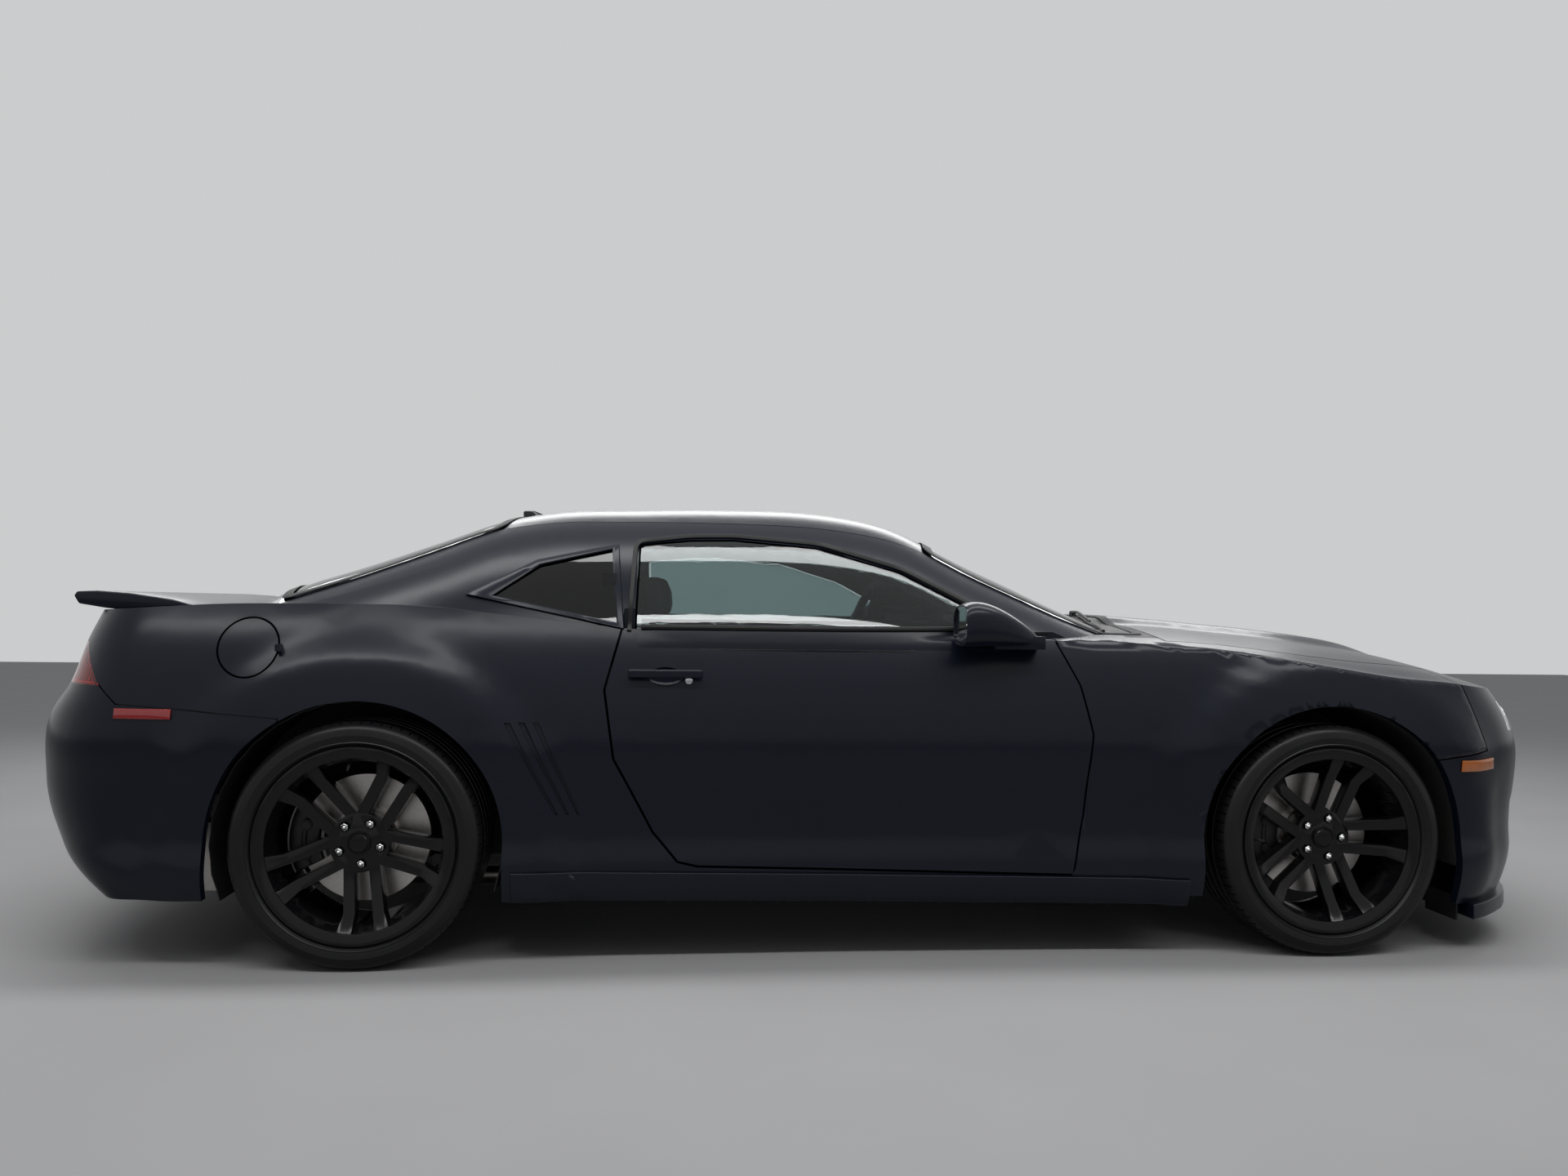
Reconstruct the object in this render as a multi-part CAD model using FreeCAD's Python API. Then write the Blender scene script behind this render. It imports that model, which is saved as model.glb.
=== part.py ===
import FreeCAD, Part
import math
import os
from FreeCAD import Placement, Rotation, Vector

# A two-door muscle car as it stands on its wheels.  x points to the front, y to the left and
# z up.  The origin is on the ground under the middle of the length and width.  Millimetres.

# Overall sizes.
body_length = 4836.0
body_width = 1918.0
roof_height = 1362.0
wheelbase = 2852.0
front_axle_x = 1480.0
rear_axle_x = front_axle_x - wheelbase
half_width = body_width / 2

# Outer body: an upright hull, a top sheet and a cabin top.
hull_foot = 120.0
room_drop_share = 0.5
hull_head = 1090.0
hull_levels = 22
hull_points = 78
lid_reach_x = 2600.0
lid_reach_y = 1100.0
lid_depth = 1300.0
lid_rows = 53
lid_columns = 31
cabin_foot = 845.0
cabin_rows = 31
cabin_points = 33
cabin_front = 1260.0
cabin_rear = -2080.0
cabin_least_rise = 40.0
flare_rise = 22.0
flare_inner = 500.0
flare_outer = 612.0
front_taper_share = 0.376
rear_taper_share = -0.407
front_round = 2.2
rear_round = 2.5
crown_power = 2.4
crown_width_share = 0.93
shoulder_power = 3.4
crest_power = 1.35
bulge_rise = 20.0
bulge_half_width = 350.0
bulge_blend_y = 70.0
bulge_front_x = 2080.0
bulge_front_blend = 250.0
bulge_rear_x = 900.0
bulge_rear_blend = 100.0

# Shares of roof_height, then of half_width or of body_length.
side_shares = [(0.05, 0.93), (0.12, 0.95), (0.165, 0.97), (0.20, 0.978), (0.235, 0.974), (0.27, 0.966),
               (0.33, 0.966), (0.40, 0.974), (0.455, 0.985), (0.50, 0.9815), (0.54, 0.976), (0.58, 0.966),
               (0.62, 0.951), (0.66, 0.932), (0.69, 0.914), (0.72, 0.892), (0.75, 0.866), (0.82, 0.80)]
nose_shares = [(0.05, 0.475), (0.12, 0.486), (0.19, 0.492), (0.31, 0.4967), (0.39, 0.5),
               (0.467, 0.4967), (0.53, 0.486), (0.56, 0.478), (0.60, 0.466), (0.66, 0.44),
               (0.75, 0.40), (0.82, 0.37)]
tail_shares = [(0.05, 0.40), (0.11, 0.424), (0.155, 0.455), (0.21, 0.4777), (0.273, 0.491),
               (0.38, 0.5), (0.4875, 0.4984), (0.514, 0.4963), (0.547, 0.488), (0.587, 0.481),
               (0.663, 0.4735), (0.723, 0.466), (0.82, 0.455)]
# Shares of body_length, then of half_width or of roof_height.
waist_shares = [(-0.5, -0.02), (-0.42, -0.012), (-0.284, -0.008), (-0.12, -0.022), (0, -0.03),
                (0.13, -0.022), (0.306, -0.008), (0.42, -0.016), (0.5, -0.02)]
crest_shares = [(-0.5, 0.716), (-0.465, 0.723), (-0.421, 0.733), (-0.348, 0.748), (-0.258, 0.746),
                (-0.186, 0.723), (-0.124, 0.701), (-0.062, 0.692), (0, 0.689), (0.071, 0.687),
                (0.134, 0.686), (0.186, 0.681), (0.238, 0.670), (0.292, 0.645), (0.348, 0.615),
                (0.396, 0.598), (0.456, 0.547), (0.5, 0.51)]
centre_shares = [(-0.5, 0.716), (-0.465, 0.727), (-0.421, 0.737), (-0.348, 0.745), (-0.258, 0.75),
                 (-0.186, 0.73), (-0.124, 0.71), (0, 0.70), (0.134, 0.71), (0.212, 0.727),
                 (0.243, 0.722), (0.274, 0.713), (0.305, 0.705), (0.336, 0.694), (0.367, 0.680),
                 (0.399, 0.658), (0.424, 0.632), (0.442, 0.61), (0.456, 0.59), (0.476, 0.56),
                 (0.5, 0.53)]
roof_shares = [(-0.45, 0.66), (-0.40, 0.70), (-0.36, 0.782), (-0.303, 0.855), (-0.2525, 0.9205),
               (-0.2266, 0.955), (-0.19, 0.983), (-0.13, 0.995), (-0.07, 1.0), (0, 0.993),
               (0.03, 0.977), (0.0614, 0.94), (0.0864, 0.891), (0.1156, 0.843), (0.145, 0.792),
               (0.1973, 0.705), (0.23, 0.65), (0.26, 0.60)]
cabin_width_shares = [(-0.45, 0.74), (-0.38, 0.80), (-0.30, 0.86), (-0.22, 0.905), (-0.12, 0.92),
                      (0, 0.92), (0.08, 0.915), (0.17, 0.90), (0.26, 0.87)]

# Panels and gaps.
skin = 30.0
side_wall = 118.0
roof_wall = 42.0
door_gap = 7.0
lid_gap = 6.0
pocket_gap = 6.0
seat_gap = 0.2
glass_thickness = 5.0
glass_lap = 14.0
reach = 3000.0

# Outlines seen from the right side, in shares of body_length and roof_height.
door_shares = [(0.133, 0.7416), (0.133, 0.6821), (0.1456, 0.591), (0.1526, 0.4868), (0.1478, 0.3113),
               (0.1412, 0.185), (-0.0868, 0.2085), (-0.0984, 0.2181), (-0.1131, 0.279),
               (-0.1365, 0.4325), (-0.1425, 0.5756), (-0.1332, 0.7034), (-0.1317, 0.7416)]
side_glass_shares = [(-0.1255, 0.6608), (-0.1241, 0.8869), (-0.0931, 0.8994), (-0.0651, 0.9016),
                     (-0.0128, 0.8862), (0.0389, 0.8333), (0.0811, 0.7562), (0.1158, 0.6975),
                     (0.1189, 0.6608)]
quarter_glass_shares = [(-0.213, 0.7702), (-0.1365, 0.7137), (-0.1419, 0.8811), (-0.1863, 0.8421)]
nose_cut_shares = [(0.3945, 0.7416), (0.396, 0.5977), (0.4117, 0.4515), (0.3722, 0.4332),
                   (0.3722, 0.0441), (0.5583, 0.0441), (0.5583, 0.7416)]
tail_cut_shares = [(-0.4291, 0.5771), (-0.4175, 0.5396), (-0.3863, 0.5308), (-0.3269, 0.514),
                   (-0.3143, 0.0441), (-0.5583, 0.0441), (-0.5583, 0.5771)]
skirt_shares = [(-0.195, 0.1373), (0.2134, 0.1145), (0.2134, 0.1747), (-0.195, 0.2012)]
fender_rear_shares = [(0.133, 0.7416), (0.133, 0.6821), (0.1456, 0.591), (0.1526, 0.4868),
                      (0.1478, 0.3113), (0.1412, 0.185), (0.1412, 0.0441), (0.5583, 0.0441),
                      (0.5583, 0.7416)]
# Outlines seen from above, in shares of body_length and half_width.
hood_shares = [(0.2093, -0.8342), (0.3102, -0.8029), (0.3929, -0.7195), (0.4156, -0.6465),
               (0.4311, -0.4588), (0.4384, -0.2086), (0.4396, 0)]
windshield_shares = [(0.0713, 0), (0.0699, -0.3128), (0.062, -0.5839), (0.1323, -0.6674),
                     (0.2037, -0.7456), (0.2093, -0.4171), (0.2101, 0)]
rear_glass_shares = [(-0.2068, 0), (-0.2089, -0.3128), (-0.2151, -0.5214), (-0.2895, -0.5683),
                     (-0.3515, -0.61), (-0.3608, -0.3128), (-0.3623, 0)]
roof_plan_shares = [(0.0713, 0), (0.0699, -0.3128), (0.062, -0.5839), (-0.2151, -0.5214),
                    (-0.2089, -0.3128), (-0.2068, 0)]
trunk_top_shares = [(-0.3747, 0), (-0.3722, -0.6674), (-0.517, -0.6674)]
# Blocks that part the body from its lids, lamps and fascias.
cabin_side_y = 400.0
side_split_y = 200.0
least_volume = 2000.0
door_inner_y = 815.0
lid_block_foot = 600.0
lamp_head = 903.0
trunk_tail_x = -2150.0
trunk_tail_half = 330.0
trunk_tail_foot = 712.0
skirt_inner_y = 850.0
fender_inner_y = 560.0
cowl_front_x = 1006.0
cowl_half_width = 756.0
cowl_foot = 800.0
cowl_thickness = 12.0
tulip_lap = 10.0
tulip_half_width = 640.0
pillar_foot_z = 880.0
lamp_rear_x = 1990.0
splitter_top = 150.0
splitter_foot = 104.0
splitter_reach = 22.0
splitter_rear_x = 1934.0
mesh_thickness = 10.0
mesh_lap = 12.0
mesh_rear_x = 1800.0
tail_foot = 200.0
tail_lamp_foot = 786.2
rest_gap = 0.3
rest_lap = 10.0
hood_rest_x = 1016.0
hood_rest_length = 40.0
hood_rest_y = 640.0
hood_rest_width = 70.0
hood_rest_foot = 850.0
hood_rest_depth = 20.0
trunk_rest_x = -1880.0
trunk_rest_length = 60.0
trunk_rest_y = 590.0
trunk_rest_width = 110.0
trunk_rest_weld_y = 652.0
trunk_rest_foot = 930.0
hinge_x = 640.0
hinge_y = 925.0
hinge_sweep = 160.0
hinge_sweep_foot = 245.0
hinge_sweep_head = 960.0
door_stop_x = 738.8
door_stop_y = 830.0
door_stop_width = 55.0
door_stop_z = 655.0
door_stop_height = 16.0
fuel_stop_y = 915.0
fuel_stop_half = 10.0
plate_depth = 12.0
tip_radius = 44.0
tip_front_x = -1900.0
tip_rear_x = -2275.0
tip_height = 235.0
shaft_hole_radius = 60.0
spoiler_half_width = 640.0
spoiler_sweep = 42.0
spoiler_sections = 7
groove_depth = 8.0
groove_width = 4.0
skirt_proud = 12.0
gill_depth = 9.0
gill_count = 3
gill_top_x = -960.0
gill_foot_x = -821.0
gill_top_z = 692.0
gill_foot_z = 429.0
gill_top_step = 39.0
gill_foot_step = 30.5
gill_top_width = 17.0
gill_foot_width = 9.0
handle_x = -519.0
handle_z = 832.0
handle_half_length = 107.0
handle_height = 24.0
handle_depth = 15.0
handle_stand = 20.0
handle_round = 6.0
handle_foot = 30.0
handle_cup_length = 52.0
handle_cup_depth = 20.0
handle_cup_height = 30.0
handle_cup_drop = 12.0
fuel_x = -1682.0
fuel_z = 895.0
fuel_radius = 80.0
fuel_thickness = 14.0
fuel_pocket_y = 815.0
liner_foot = 262.0
beam_half_width = 560.0
beam_foot = 420.0
beam_head = 520.0
tail_lamp_shares = [(-0.4291, 0.5772), (-0.4464, 0.663), (-0.5997, 0.663), (-0.5997, 0.5772)]
spoiler_shares = [(-0.3954, 0.7372), (-0.4115, 0.7533), (-0.4363, 0.7658), (-0.456, 0.7702),
                  (-0.4677, 0.768), (-0.4694, 0.7592), (-0.4665, 0.7416), (-0.4508, 0.7327),
                  (-0.4239, 0.7232), (-0.4012, 0.7159)]
# Slots and lamps of the nose and tail seen from the front, in shares of half_width and roof_height.
upper_slot_shares = [(-0.4359, 0.4809), (0.4359, 0.4809), (0.4484, 0.514), (0.4359, 0.5396),
                     (-0.4359, 0.5396), (-0.4484, 0.514)]
lower_slot_shares = [(-0.4901, 0.1689), (0.4901, 0.1689), (0.5996, 0.2423), (0.6257, 0.3451),
                     (-0.6257, 0.3451), (-0.5996, 0.2423)]
headlamp_shares = [(-0.8342, 0.4905), (-0.7299, 0.4772), (-0.4713, 0.4736), (-0.4588, 0.514),
                   (-0.4713, 0.5448), (-0.6257, 0.5521), (-0.8133, 0.5551)]
duct_shares = [(-0.7769, 0.2203), (-0.6934, 0.2093), (-0.6778, 0.2937), (-0.7195, 0.3451),
               (-0.7925, 0.3231)]
plate_shares = [(-0.1721, 0.3781), (0.1721, 0.3781), (0.1825, 0.4809), (-0.1825, 0.4809)]

# Wheels, tyres and brakes.
wheel_height = 347.0
track = 1610.0
tyre_radius = 347.0
tyre_half_front = 134.0
tyre_half_rear = 144.0
tyre_shoulder = 32.0
bead_radius = 254.0
rim_lip_radius = 276.0
rim_wall = 10.0
rim_drop_radius = 232.0
rim_half_front = 126.0
rim_half_rear = 136.0
rim_bead_width = 24.0
rim_lip_width = 9.0
hub_face_inset = 34.0
spoke_count = 5
spoke_bevel = 5.0
spoke_kick = 16.0
spoke_depth = 38.0
spoke_dish = 26.0
hub_pad_radius = 84.0
hub_pad_depth = 62.0
cap_radius = 34.0
cap_depth = 8.0
lug_circle_radius = 60.0
lug_count = 5
lug_seat_radius = 15.0
lug_seat_depth = 14.0
disc_radius_front = 185.0
disc_radius_rear = 182.0
disc_thickness = 32.0
disc_hat_radius = 92.0
disc_hat_depth = 20.0
spindle_radius = 32.0
spindle_gap = 0.4
caliper_inner = 112.0
caliper_outer = 212.0
caliper_half_angle = 30.0
caliper_half_width = 62.0
caliper_gap = 6.0
kingpin_inset = 45.0
kingpin_radius = 12.0
arm_end_radius = 20.0
kingpin_gap = 0.4
knuckle_half_height = 140.0
knuckle_half_length = 45.0
knuckle_depth = 40.0
arm_half_width = 34.0
arm_height = 26.0
arm_inner_y = 330.0
upper_arm_inner_y = 478.0
arch_radius = 404.0
arch_liner = 8.0
front_liner_y = 478.0
rear_liner_y = 632.0
steer_angle = 32.0

# Floor, structure and compartments.
floor_height = 190.0
floor_thickness = 24.0
floor_half_width = 812.0
floor_front_x = 905.0
floor_rear_x = -900.0
tunnel_half_width = 125.0
tunnel_height = 400.0
tunnel_wall = 16.0
sill_height = 300.0
sill_depth = 70.0
firewall_x = 905.0
firewall_thickness = 30.0
firewall_height = 880.0
firewall_half_width = 770.0
rail_y = 420.0
rail_half_width = 42.0
rail_height = 340.0
rail_depth = 130.0
rail_front_x = 2240.0
radiator_x = 2080.0
radiator_thickness = 50.0
radiator_height = 640.0
tower_x = 250.0
tower_top = 800.0
trunk_floor_height = 500.0
trunk_rear_x = -2300.0
trunk_panel = 26.0
trunk_sill_height = 690.0
seat_wall_x = -900.0
parcel_height = 930.0
engine_front_x = 1890.0
engine_rear_x = 1160.0
engine_half_width = 300.0
engine_foot = 250.0
engine_head = 800.0
belt_height = 948.0
caliper_wall = 18.0
tyre_lift = 4.0
# Shares of the rim lip radius: the inner end, elbow and outer end of a spoke along the wheel, then its
# middle line and half width at each of them.
spoke_reach_shares = [0.10, 0.70, 0.945]
spoke_line_shares = [0.118, 0.145, 0.21]
spoke_half_shares = [0.042, 0.050, 0.085]
cross_half_length = 110.0
cross_foot = 165.0
cross_head = 209.8
post_half = 20.0
rear_post_x = -1450.0
rear_post_y = 380.0
engine_mount_y = 180.0
differential_radius = 120.0
differential_half_width = 150.0
half_shaft_radius = 22.0
driveshaft_radius = 36.0
shaft_lap = 6.0
gearbox_length = 560.0
gearbox_half_width = 100.0
gearbox_head = 372.0
pipe_radius = 28.0
pipe_front_x = 1000.0
pipe_y = 330.0
pipe_height = 132.0
silencer_rear_x = -2060.0
silencer_front_x = -1800.0
silencer_outer_y = 470.0
silencer_inner_y = 190.0
silencer_foot = 118.0
silencer_head = 330.0
tank_rear_x = -1240.0
tank_front_x = -930.0
tank_half_width = 270.0
tank_foot = 205.0
tank_waist = 290.0
tank_channel = 62.0
column_radius = 30.0
column_length = 160.0
dash_half_width = 768.0
console_rear_x = -350.0
console_front_x = 420.0
console_half_width = 110.0
console_height = 560.0
seat_y = 370.0
seat_half_width = 238.0
rear_seat_half_width = 560.0
dash_shares = [(0.0682, 0.514), (0.062, 0.7048), (0.0682, 0.7416), (0.1447, 0.7232), (0.1871, 0.6828),
               (0.1871, 0.4699), (0.1158, 0.4112)]
cushion_shares = [(-0.0703, 0.1396), (0.0331, 0.1396), (0.0393, 0.2937), (0.031, 0.3231),
                  (-0.0703, 0.279)]
back_shares = [(-0.0703, 0.1396), (-0.1158, 0.1396), (-0.1323, 0.7342), (-0.1282, 0.8223),
               (-0.1075, 0.8297), (-0.0993, 0.7342), (-0.0682, 0.2937)]
rear_cushion_shares = [(-0.1859, 0.1396), (-0.1859, 0.3451), (-0.1375, 0.3671), (-0.1427, 0.1396)]
rear_back_shares = [(-0.1859, 0.1396), (-0.1859, 0.6608), (-0.1737, 0.6608), (-0.1489, 0.3451)]
steering_radius = 175.0
steering_rim_radius = 15.0
steering_hub_radius = 45.0
steering_hub_depth = 60.0
steering_spoke_half = 20.0
steering_spokes = [0, 90, 270]
steering_tilt = 22.0
steering_x = 240.0
steering_z = 960.0
mirror_rear_x = 330.0
mirror_length = 255.0
mirror_y = 948.0
mirror_half_width = 90.0
mirror_top = 1045.0
mirror_foot = 920.0
mirror_lean = 60.0
mirror_round = 3.2
mirror_points = 24
mirror_rim = 7.0
mirror_pocket = 12.0
mirror_foot_z = 912.0
mirror_foot_head = 950.0
mirror_foot_length = 150.0
# Shares of mirror_length, then of the housing's height and half width, from the pane to the tip.
mirror_shares = [(0, 0.92, 0.93), (0.07, 1, 1), (0.35, 0.97, 0.98), (0.65, 0.68, 0.8), (0.88, 0.36, 0.52),
                 (1, 0.16, 0.3)]


def blend(t):
    """A smooth step from 0 to 1 while t goes from 0 to 1."""
    t = max(0, min(1, t))
    return t * t * (3 - 2 * t)


def law(shares, across, up):
    """A smooth curve through the shares, as a function of a length."""
    xs = [a * across for a, b in shares]
    ys = [b * up for a, b in shares]
    steps = [b - a for a, b in zip(xs, xs[1:])]
    rises = [(ys[i + 1] - ys[i]) / steps[i] for i in range(len(steps))]
    slopes = [rises[0]]
    for i in range(1, len(steps)):
        turn = (rises[i - 1] * steps[i] + rises[i] * steps[i - 1]) / (steps[i] + steps[i - 1])
        slopes.append(turn if rises[i - 1] * rises[i] > 0 else 0)
    slopes.append(rises[-1])

    def value(x):
        if x <= xs[0]:
            return ys[0]
        if x >= xs[-1]:
            return ys[-1]
        i = 0
        while x > xs[i + 1]:
            i += 1
        t = (x - xs[i]) / steps[i]
        start = (1 + 2 * t) * (1 - t) ** 2 * ys[i] + t * (1 - t) ** 2 * steps[i] * slopes[i]
        return start + t * t * (3 - 2 * t) * ys[i + 1] + t * t * (t - 1) * steps[i] * slopes[i + 1]

    return value


side_law = law(side_shares, roof_height, half_width)
nose_law = law(nose_shares, roof_height, body_length)
tail_law = law(tail_shares, roof_height, body_length)
waist_law = law(waist_shares, body_length, half_width)
crest_law = law(crest_shares, body_length, roof_height)
centre_law = law(centre_shares, body_length, roof_height)
roof_law = law(roof_shares, body_length, roof_height)
cabin_width_law = law(cabin_width_shares, body_length, half_width)


def flare(x, z):
    """How far the side swells out around the wheels."""
    best = 0
    for axle in (front_axle_x, rear_axle_x):
        away = math.hypot(x - axle, z - wheel_height)
        best = max(best, flare_rise * blend((flare_outer - away) / (flare_outer - flare_inner)))
    return best


def even(points, count):
    """The same line with its points spread evenly along it."""
    run = [0]
    for a, b in zip(points, points[1:]):
        run.append(run[-1] + (b - a).Length)
    spread = []
    k = 0
    for i in range(count):
        goal = run[-1] * i / (count - 1)
        while k < len(run) - 2 and run[k + 1] < goal:
            k += 1
        t = (goal - run[k]) / (run[k + 1] - run[k])
        spread.append(points[k] + (points[k + 1] - points[k]) * t)
    return spread


def skin_face(rows):
    """A smooth face through rows of points."""
    surface = Part.BSplineSurface()
    surface.interpolate(rows)
    return surface.toShape()


def side_line(z, inset):
    """The right half of the hull outline at one height, from the tail to the nose."""
    nose = nose_law(z) - inset
    tail = inset - tail_law(z)
    front = front_taper_share * body_length
    rear = rear_taper_share * body_length
    steps = 4 * hull_points

    def half(x):
        return side_law(z) + waist_law(x) + flare(x, z) - inset

    line = []
    for i in range(steps):
        turn = math.pi / 2 * (1 - i / steps)
        x = rear - (rear - tail) * math.sin(turn) ** (2 / rear_round)
        y = half(x) * math.cos(turn) ** (2 / rear_round)
        line.append(Vector(x, -y if i else 0, z))
    for i in range(steps):
        x = rear + (front - rear) * i / steps
        line.append(Vector(x, -half(x), z))
    for i in range(steps + 1):
        turn = math.pi / 2 * i / steps
        x = front + (nose - front) * math.sin(turn) ** (2 / front_round)
        y = half(x) * max(0, math.cos(turn)) ** (2 / front_round)
        line.append(Vector(x, -y if i < steps else 0, z))
    return even(line, hull_points)


def hull(inset):
    """The sides, nose and tail as one upright solid, moved inward by the inset.

    An inner one reaches lower, so the foot of the outer one stays open.
    """
    foot = hull_foot - room_drop_share * inset
    heights = [foot + (hull_head - foot) * k / (hull_levels - 1) for k in range(hull_levels)]
    rows = [side_line(z, inset) for z in heights]
    right = skin_face(rows)
    left = skin_face([[Vector(p.x, -p.y, p.z) for p in row] for row in rows])
    caps = []
    for z in (foot, hull_head):
        rims = []
        for face in (right, left):
            for edge in face.Edges:
                flat = all(abs(v.Z - z) < seat_gap for v in edge.Vertexes)
                if flat and edge.Length > half_width:
                    rims.append(edge)
        caps.append(Part.makeRuledSurface(rims[0], rims[1]))
    shell = Part.makeShell([right, left] + caps)
    shell.sewShape()
    return Part.makeSolid(shell)


def top_height(x, y):
    """The height of the hood, fenders and deck."""
    u = min(1, abs(y) / (crown_width_share * half_width))
    rise = bulge_rise * blend((bulge_half_width - abs(y)) / bulge_blend_y)
    rise = rise * blend((bulge_front_x - x) / bulge_front_blend)
    rise = rise * blend((x - bulge_rear_x) / bulge_rear_blend)
    return crest_law(x) + (centre_law(x) - crest_law(x)) * (1 - u ** crown_power) + rise


def lid(drop):
    """Everything under the top sheet lowered by the drop."""
    rows = []
    for i in range(lid_rows):
        x = lid_reach_x * (2 * i / (lid_rows - 1) - 1)
        row = []
        for j in range(lid_columns):
            y = lid_reach_y * (2 * j / (lid_columns - 1) - 1)
            row.append(Vector(x, y, top_height(x, y) - drop))
        rows.append(row)
    return skin_face(rows).extrude(Vector(0, 0, -lid_depth))


def cabin(inset):
    """The cabin top: windows, pillars and roof, moved inward by the inset."""
    rows = []
    for i in range(cabin_rows):
        x = cabin_rear + (cabin_front - cabin_rear) * i / (cabin_rows - 1)
        rise = roof_law(x) - inset - cabin_foot
        if rise < cabin_least_rise:
            continue
        half = cabin_width_law(x) - inset
        arc = []
        steps = 3 * cabin_points
        for j in range(-steps, steps + 1):
            turn = abs(j) / steps * math.pi / 2
            y = half * math.sin(turn) ** (2 / shoulder_power)
            z = cabin_foot + rise * max(0, math.cos(turn)) ** (2 / crest_power)
            arc.append(Vector(x, y if j > 0 else -y, z))
        rows.append(even(arc, cabin_points))
    face = skin_face(rows)
    ends = []
    sides = []
    for edge in face.Edges:
        a = edge.Vertexes[0].Point
        b = edge.Vertexes[-1].Point
        if abs(a.x - b.x) < seat_gap:
            ends.append(Part.makeRuledSurface(edge, Part.makeLine(a, b)))
        else:
            sides.append(edge)
    shell = Part.makeShell([face, Part.makeRuledSurface(sides[0], sides[1])] + ends)
    shell.sewShape()
    return Part.makeSolid(shell)


def box(x0, x1, y0, y1, z0, z1):
    return Part.makeBox(x1 - x0, y1 - y0, z1 - z0, Vector(x0, y0, z0))


def side_prism(points, y0, y1):
    """A block whose outline is seen from the side."""
    face = Part.Face(Part.makePolygon([Vector(x, y0, z) for x, z in points + points[:1]]))
    return face.extrude(Vector(0, y1 - y0, 0))


def plan_prism(points, z0, z1):
    """A block whose outline is seen from above."""
    face = Part.Face(Part.makePolygon([Vector(x, y, z0) for x, y in points + points[:1]]))
    return face.extrude(Vector(0, 0, z1 - z0))


def front_prism(points, x0, x1):
    """A block whose outline is seen from the front."""
    face = Part.Face(Part.makePolygon([Vector(x0, y, z) for y, z in points + points[:1]]))
    return face.extrude(Vector(x1 - x0, 0, 0))


def sized(shares, across, up):
    return [(a * across, b * up) for a, b in shares]


def whole(half):
    """A half outline seen from above, with its other half."""
    return half + [(x, -y) for x, y in reversed(half) if y]


def grown(points, gap):
    """The same outline moved out by the gap, or in where the gap is negative."""
    area = sum(a[0] * b[1] - b[0] * a[1] for a, b in zip(points, points[1:] + points[:1]))
    side = gap if area > 0 else -gap
    moved = []
    for i, here in enumerate(points):
        last = points[i - 1]
        after = points[(i + 1) % len(points)]
        a = Vector(here[0] - last[0], here[1] - last[1], 0).normalize()
        b = Vector(after[0] - here[0], after[1] - here[1], 0).normalize()
        out = Vector(a.y + b.y, -a.x - b.x, 0)
        scale = side * 2 / out.dot(out)
        moved.append((here[0] + out.x * scale, here[1] + out.y * scale))
    return moved


def mirrored(shape):
    return shape.mirror(Vector(0, 0, 0), Vector(0, 1, 0))


def rounded(shape, radius):
    """The same shape with every edge rounded."""
    return shape.makeFillet(radius, shape.Edges)


def ellipse(half_width, half_height, power, count):
    """A rounded box outline about zero as a list of pairs."""
    line = []
    for i in range(count):
        turn = 2 * math.pi * i / count
        across = math.copysign(abs(math.cos(turn)) ** (2 / power), math.cos(turn))
        rise = math.copysign(abs(math.sin(turn)) ** (2 / power), math.sin(turn))
        line.append((half_width * across, half_height * rise))
    return line


def closed_curve(points):
    """A smooth closed wire through the points."""
    curve = Part.BSplineCurve()
    curve.interpolate(points, PeriodicFlag=True)
    return Part.Wire(curve.toShape())


def tube(radius, length, base, direction):
    return Part.makeCylinder(radius, length, base, direction)


def spun(profile, base):
    """A body turned about the y direction from (radius, y) pairs."""
    wire = Part.makePolygon([Vector(r, y, 0) for r, y in profile + profile[:1]])
    body = Part.Face(wire).revolve(Vector(0, 0, 0), Vector(0, 1, 0), 360)
    body.translate(base)
    return body


nodes = {}


def keep(name, *shapes):
    """Holds the pieces of one node, each as its own solid."""
    solids = []
    for shape in shapes:
        solids.extend(shape.Solids)
    solids = [s for s in solids if s.Volume > least_volume]
    nodes[name] = solids


# The whole outer body and the space inside the panels.
outer_low = hull(0).common(lid(0))
outer_top = cabin(0)
outer = outer_low.fuse(outer_top)
inner_low = hull(skin).common(lid(skin))
room_low = hull(side_wall).common(lid(skin))
room_top = cabin(roof_wall)
glass_top = cabin(glass_thickness)
mesh_low = hull(skin + mesh_thickness).common(lid(skin + mesh_thickness))
fit_low = hull(side_wall + seat_gap).common(lid(skin + seat_gap))
fit_room = fit_low.fuse(cabin(roof_wall + seat_gap))
fit_skin = hull(skin + seat_gap).common(lid(skin + seat_gap))

groove_core = hull(groove_depth).common(lid(groove_depth))


def side_groove(points, inner_y):
    """A shallow groove in the body along an outline seen from the side."""
    ring = side_prism(grown(points, groove_width), -reach, -inner_y)
    ring = ring.cut(side_prism(points, -reach, -inner_y))
    return ring.common(outer_low).cut(groove_core)


arches = []
for axle, liner_y in ((front_axle_x, front_liner_y), (rear_axle_x, rear_liner_y)):
    centre = Vector(axle, -reach, wheel_height)
    arches.append(tube(arch_radius, reach - liner_y, centre, Vector(0, 1, 0)))
    arches.append(box(axle - arch_radius, axle + arch_radius, -reach, -liner_y, 0, wheel_height))
arch_right = arches[0].fuse(arches[1:])
arch_both = arch_right.fuse(mirrored(arch_right))

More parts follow.
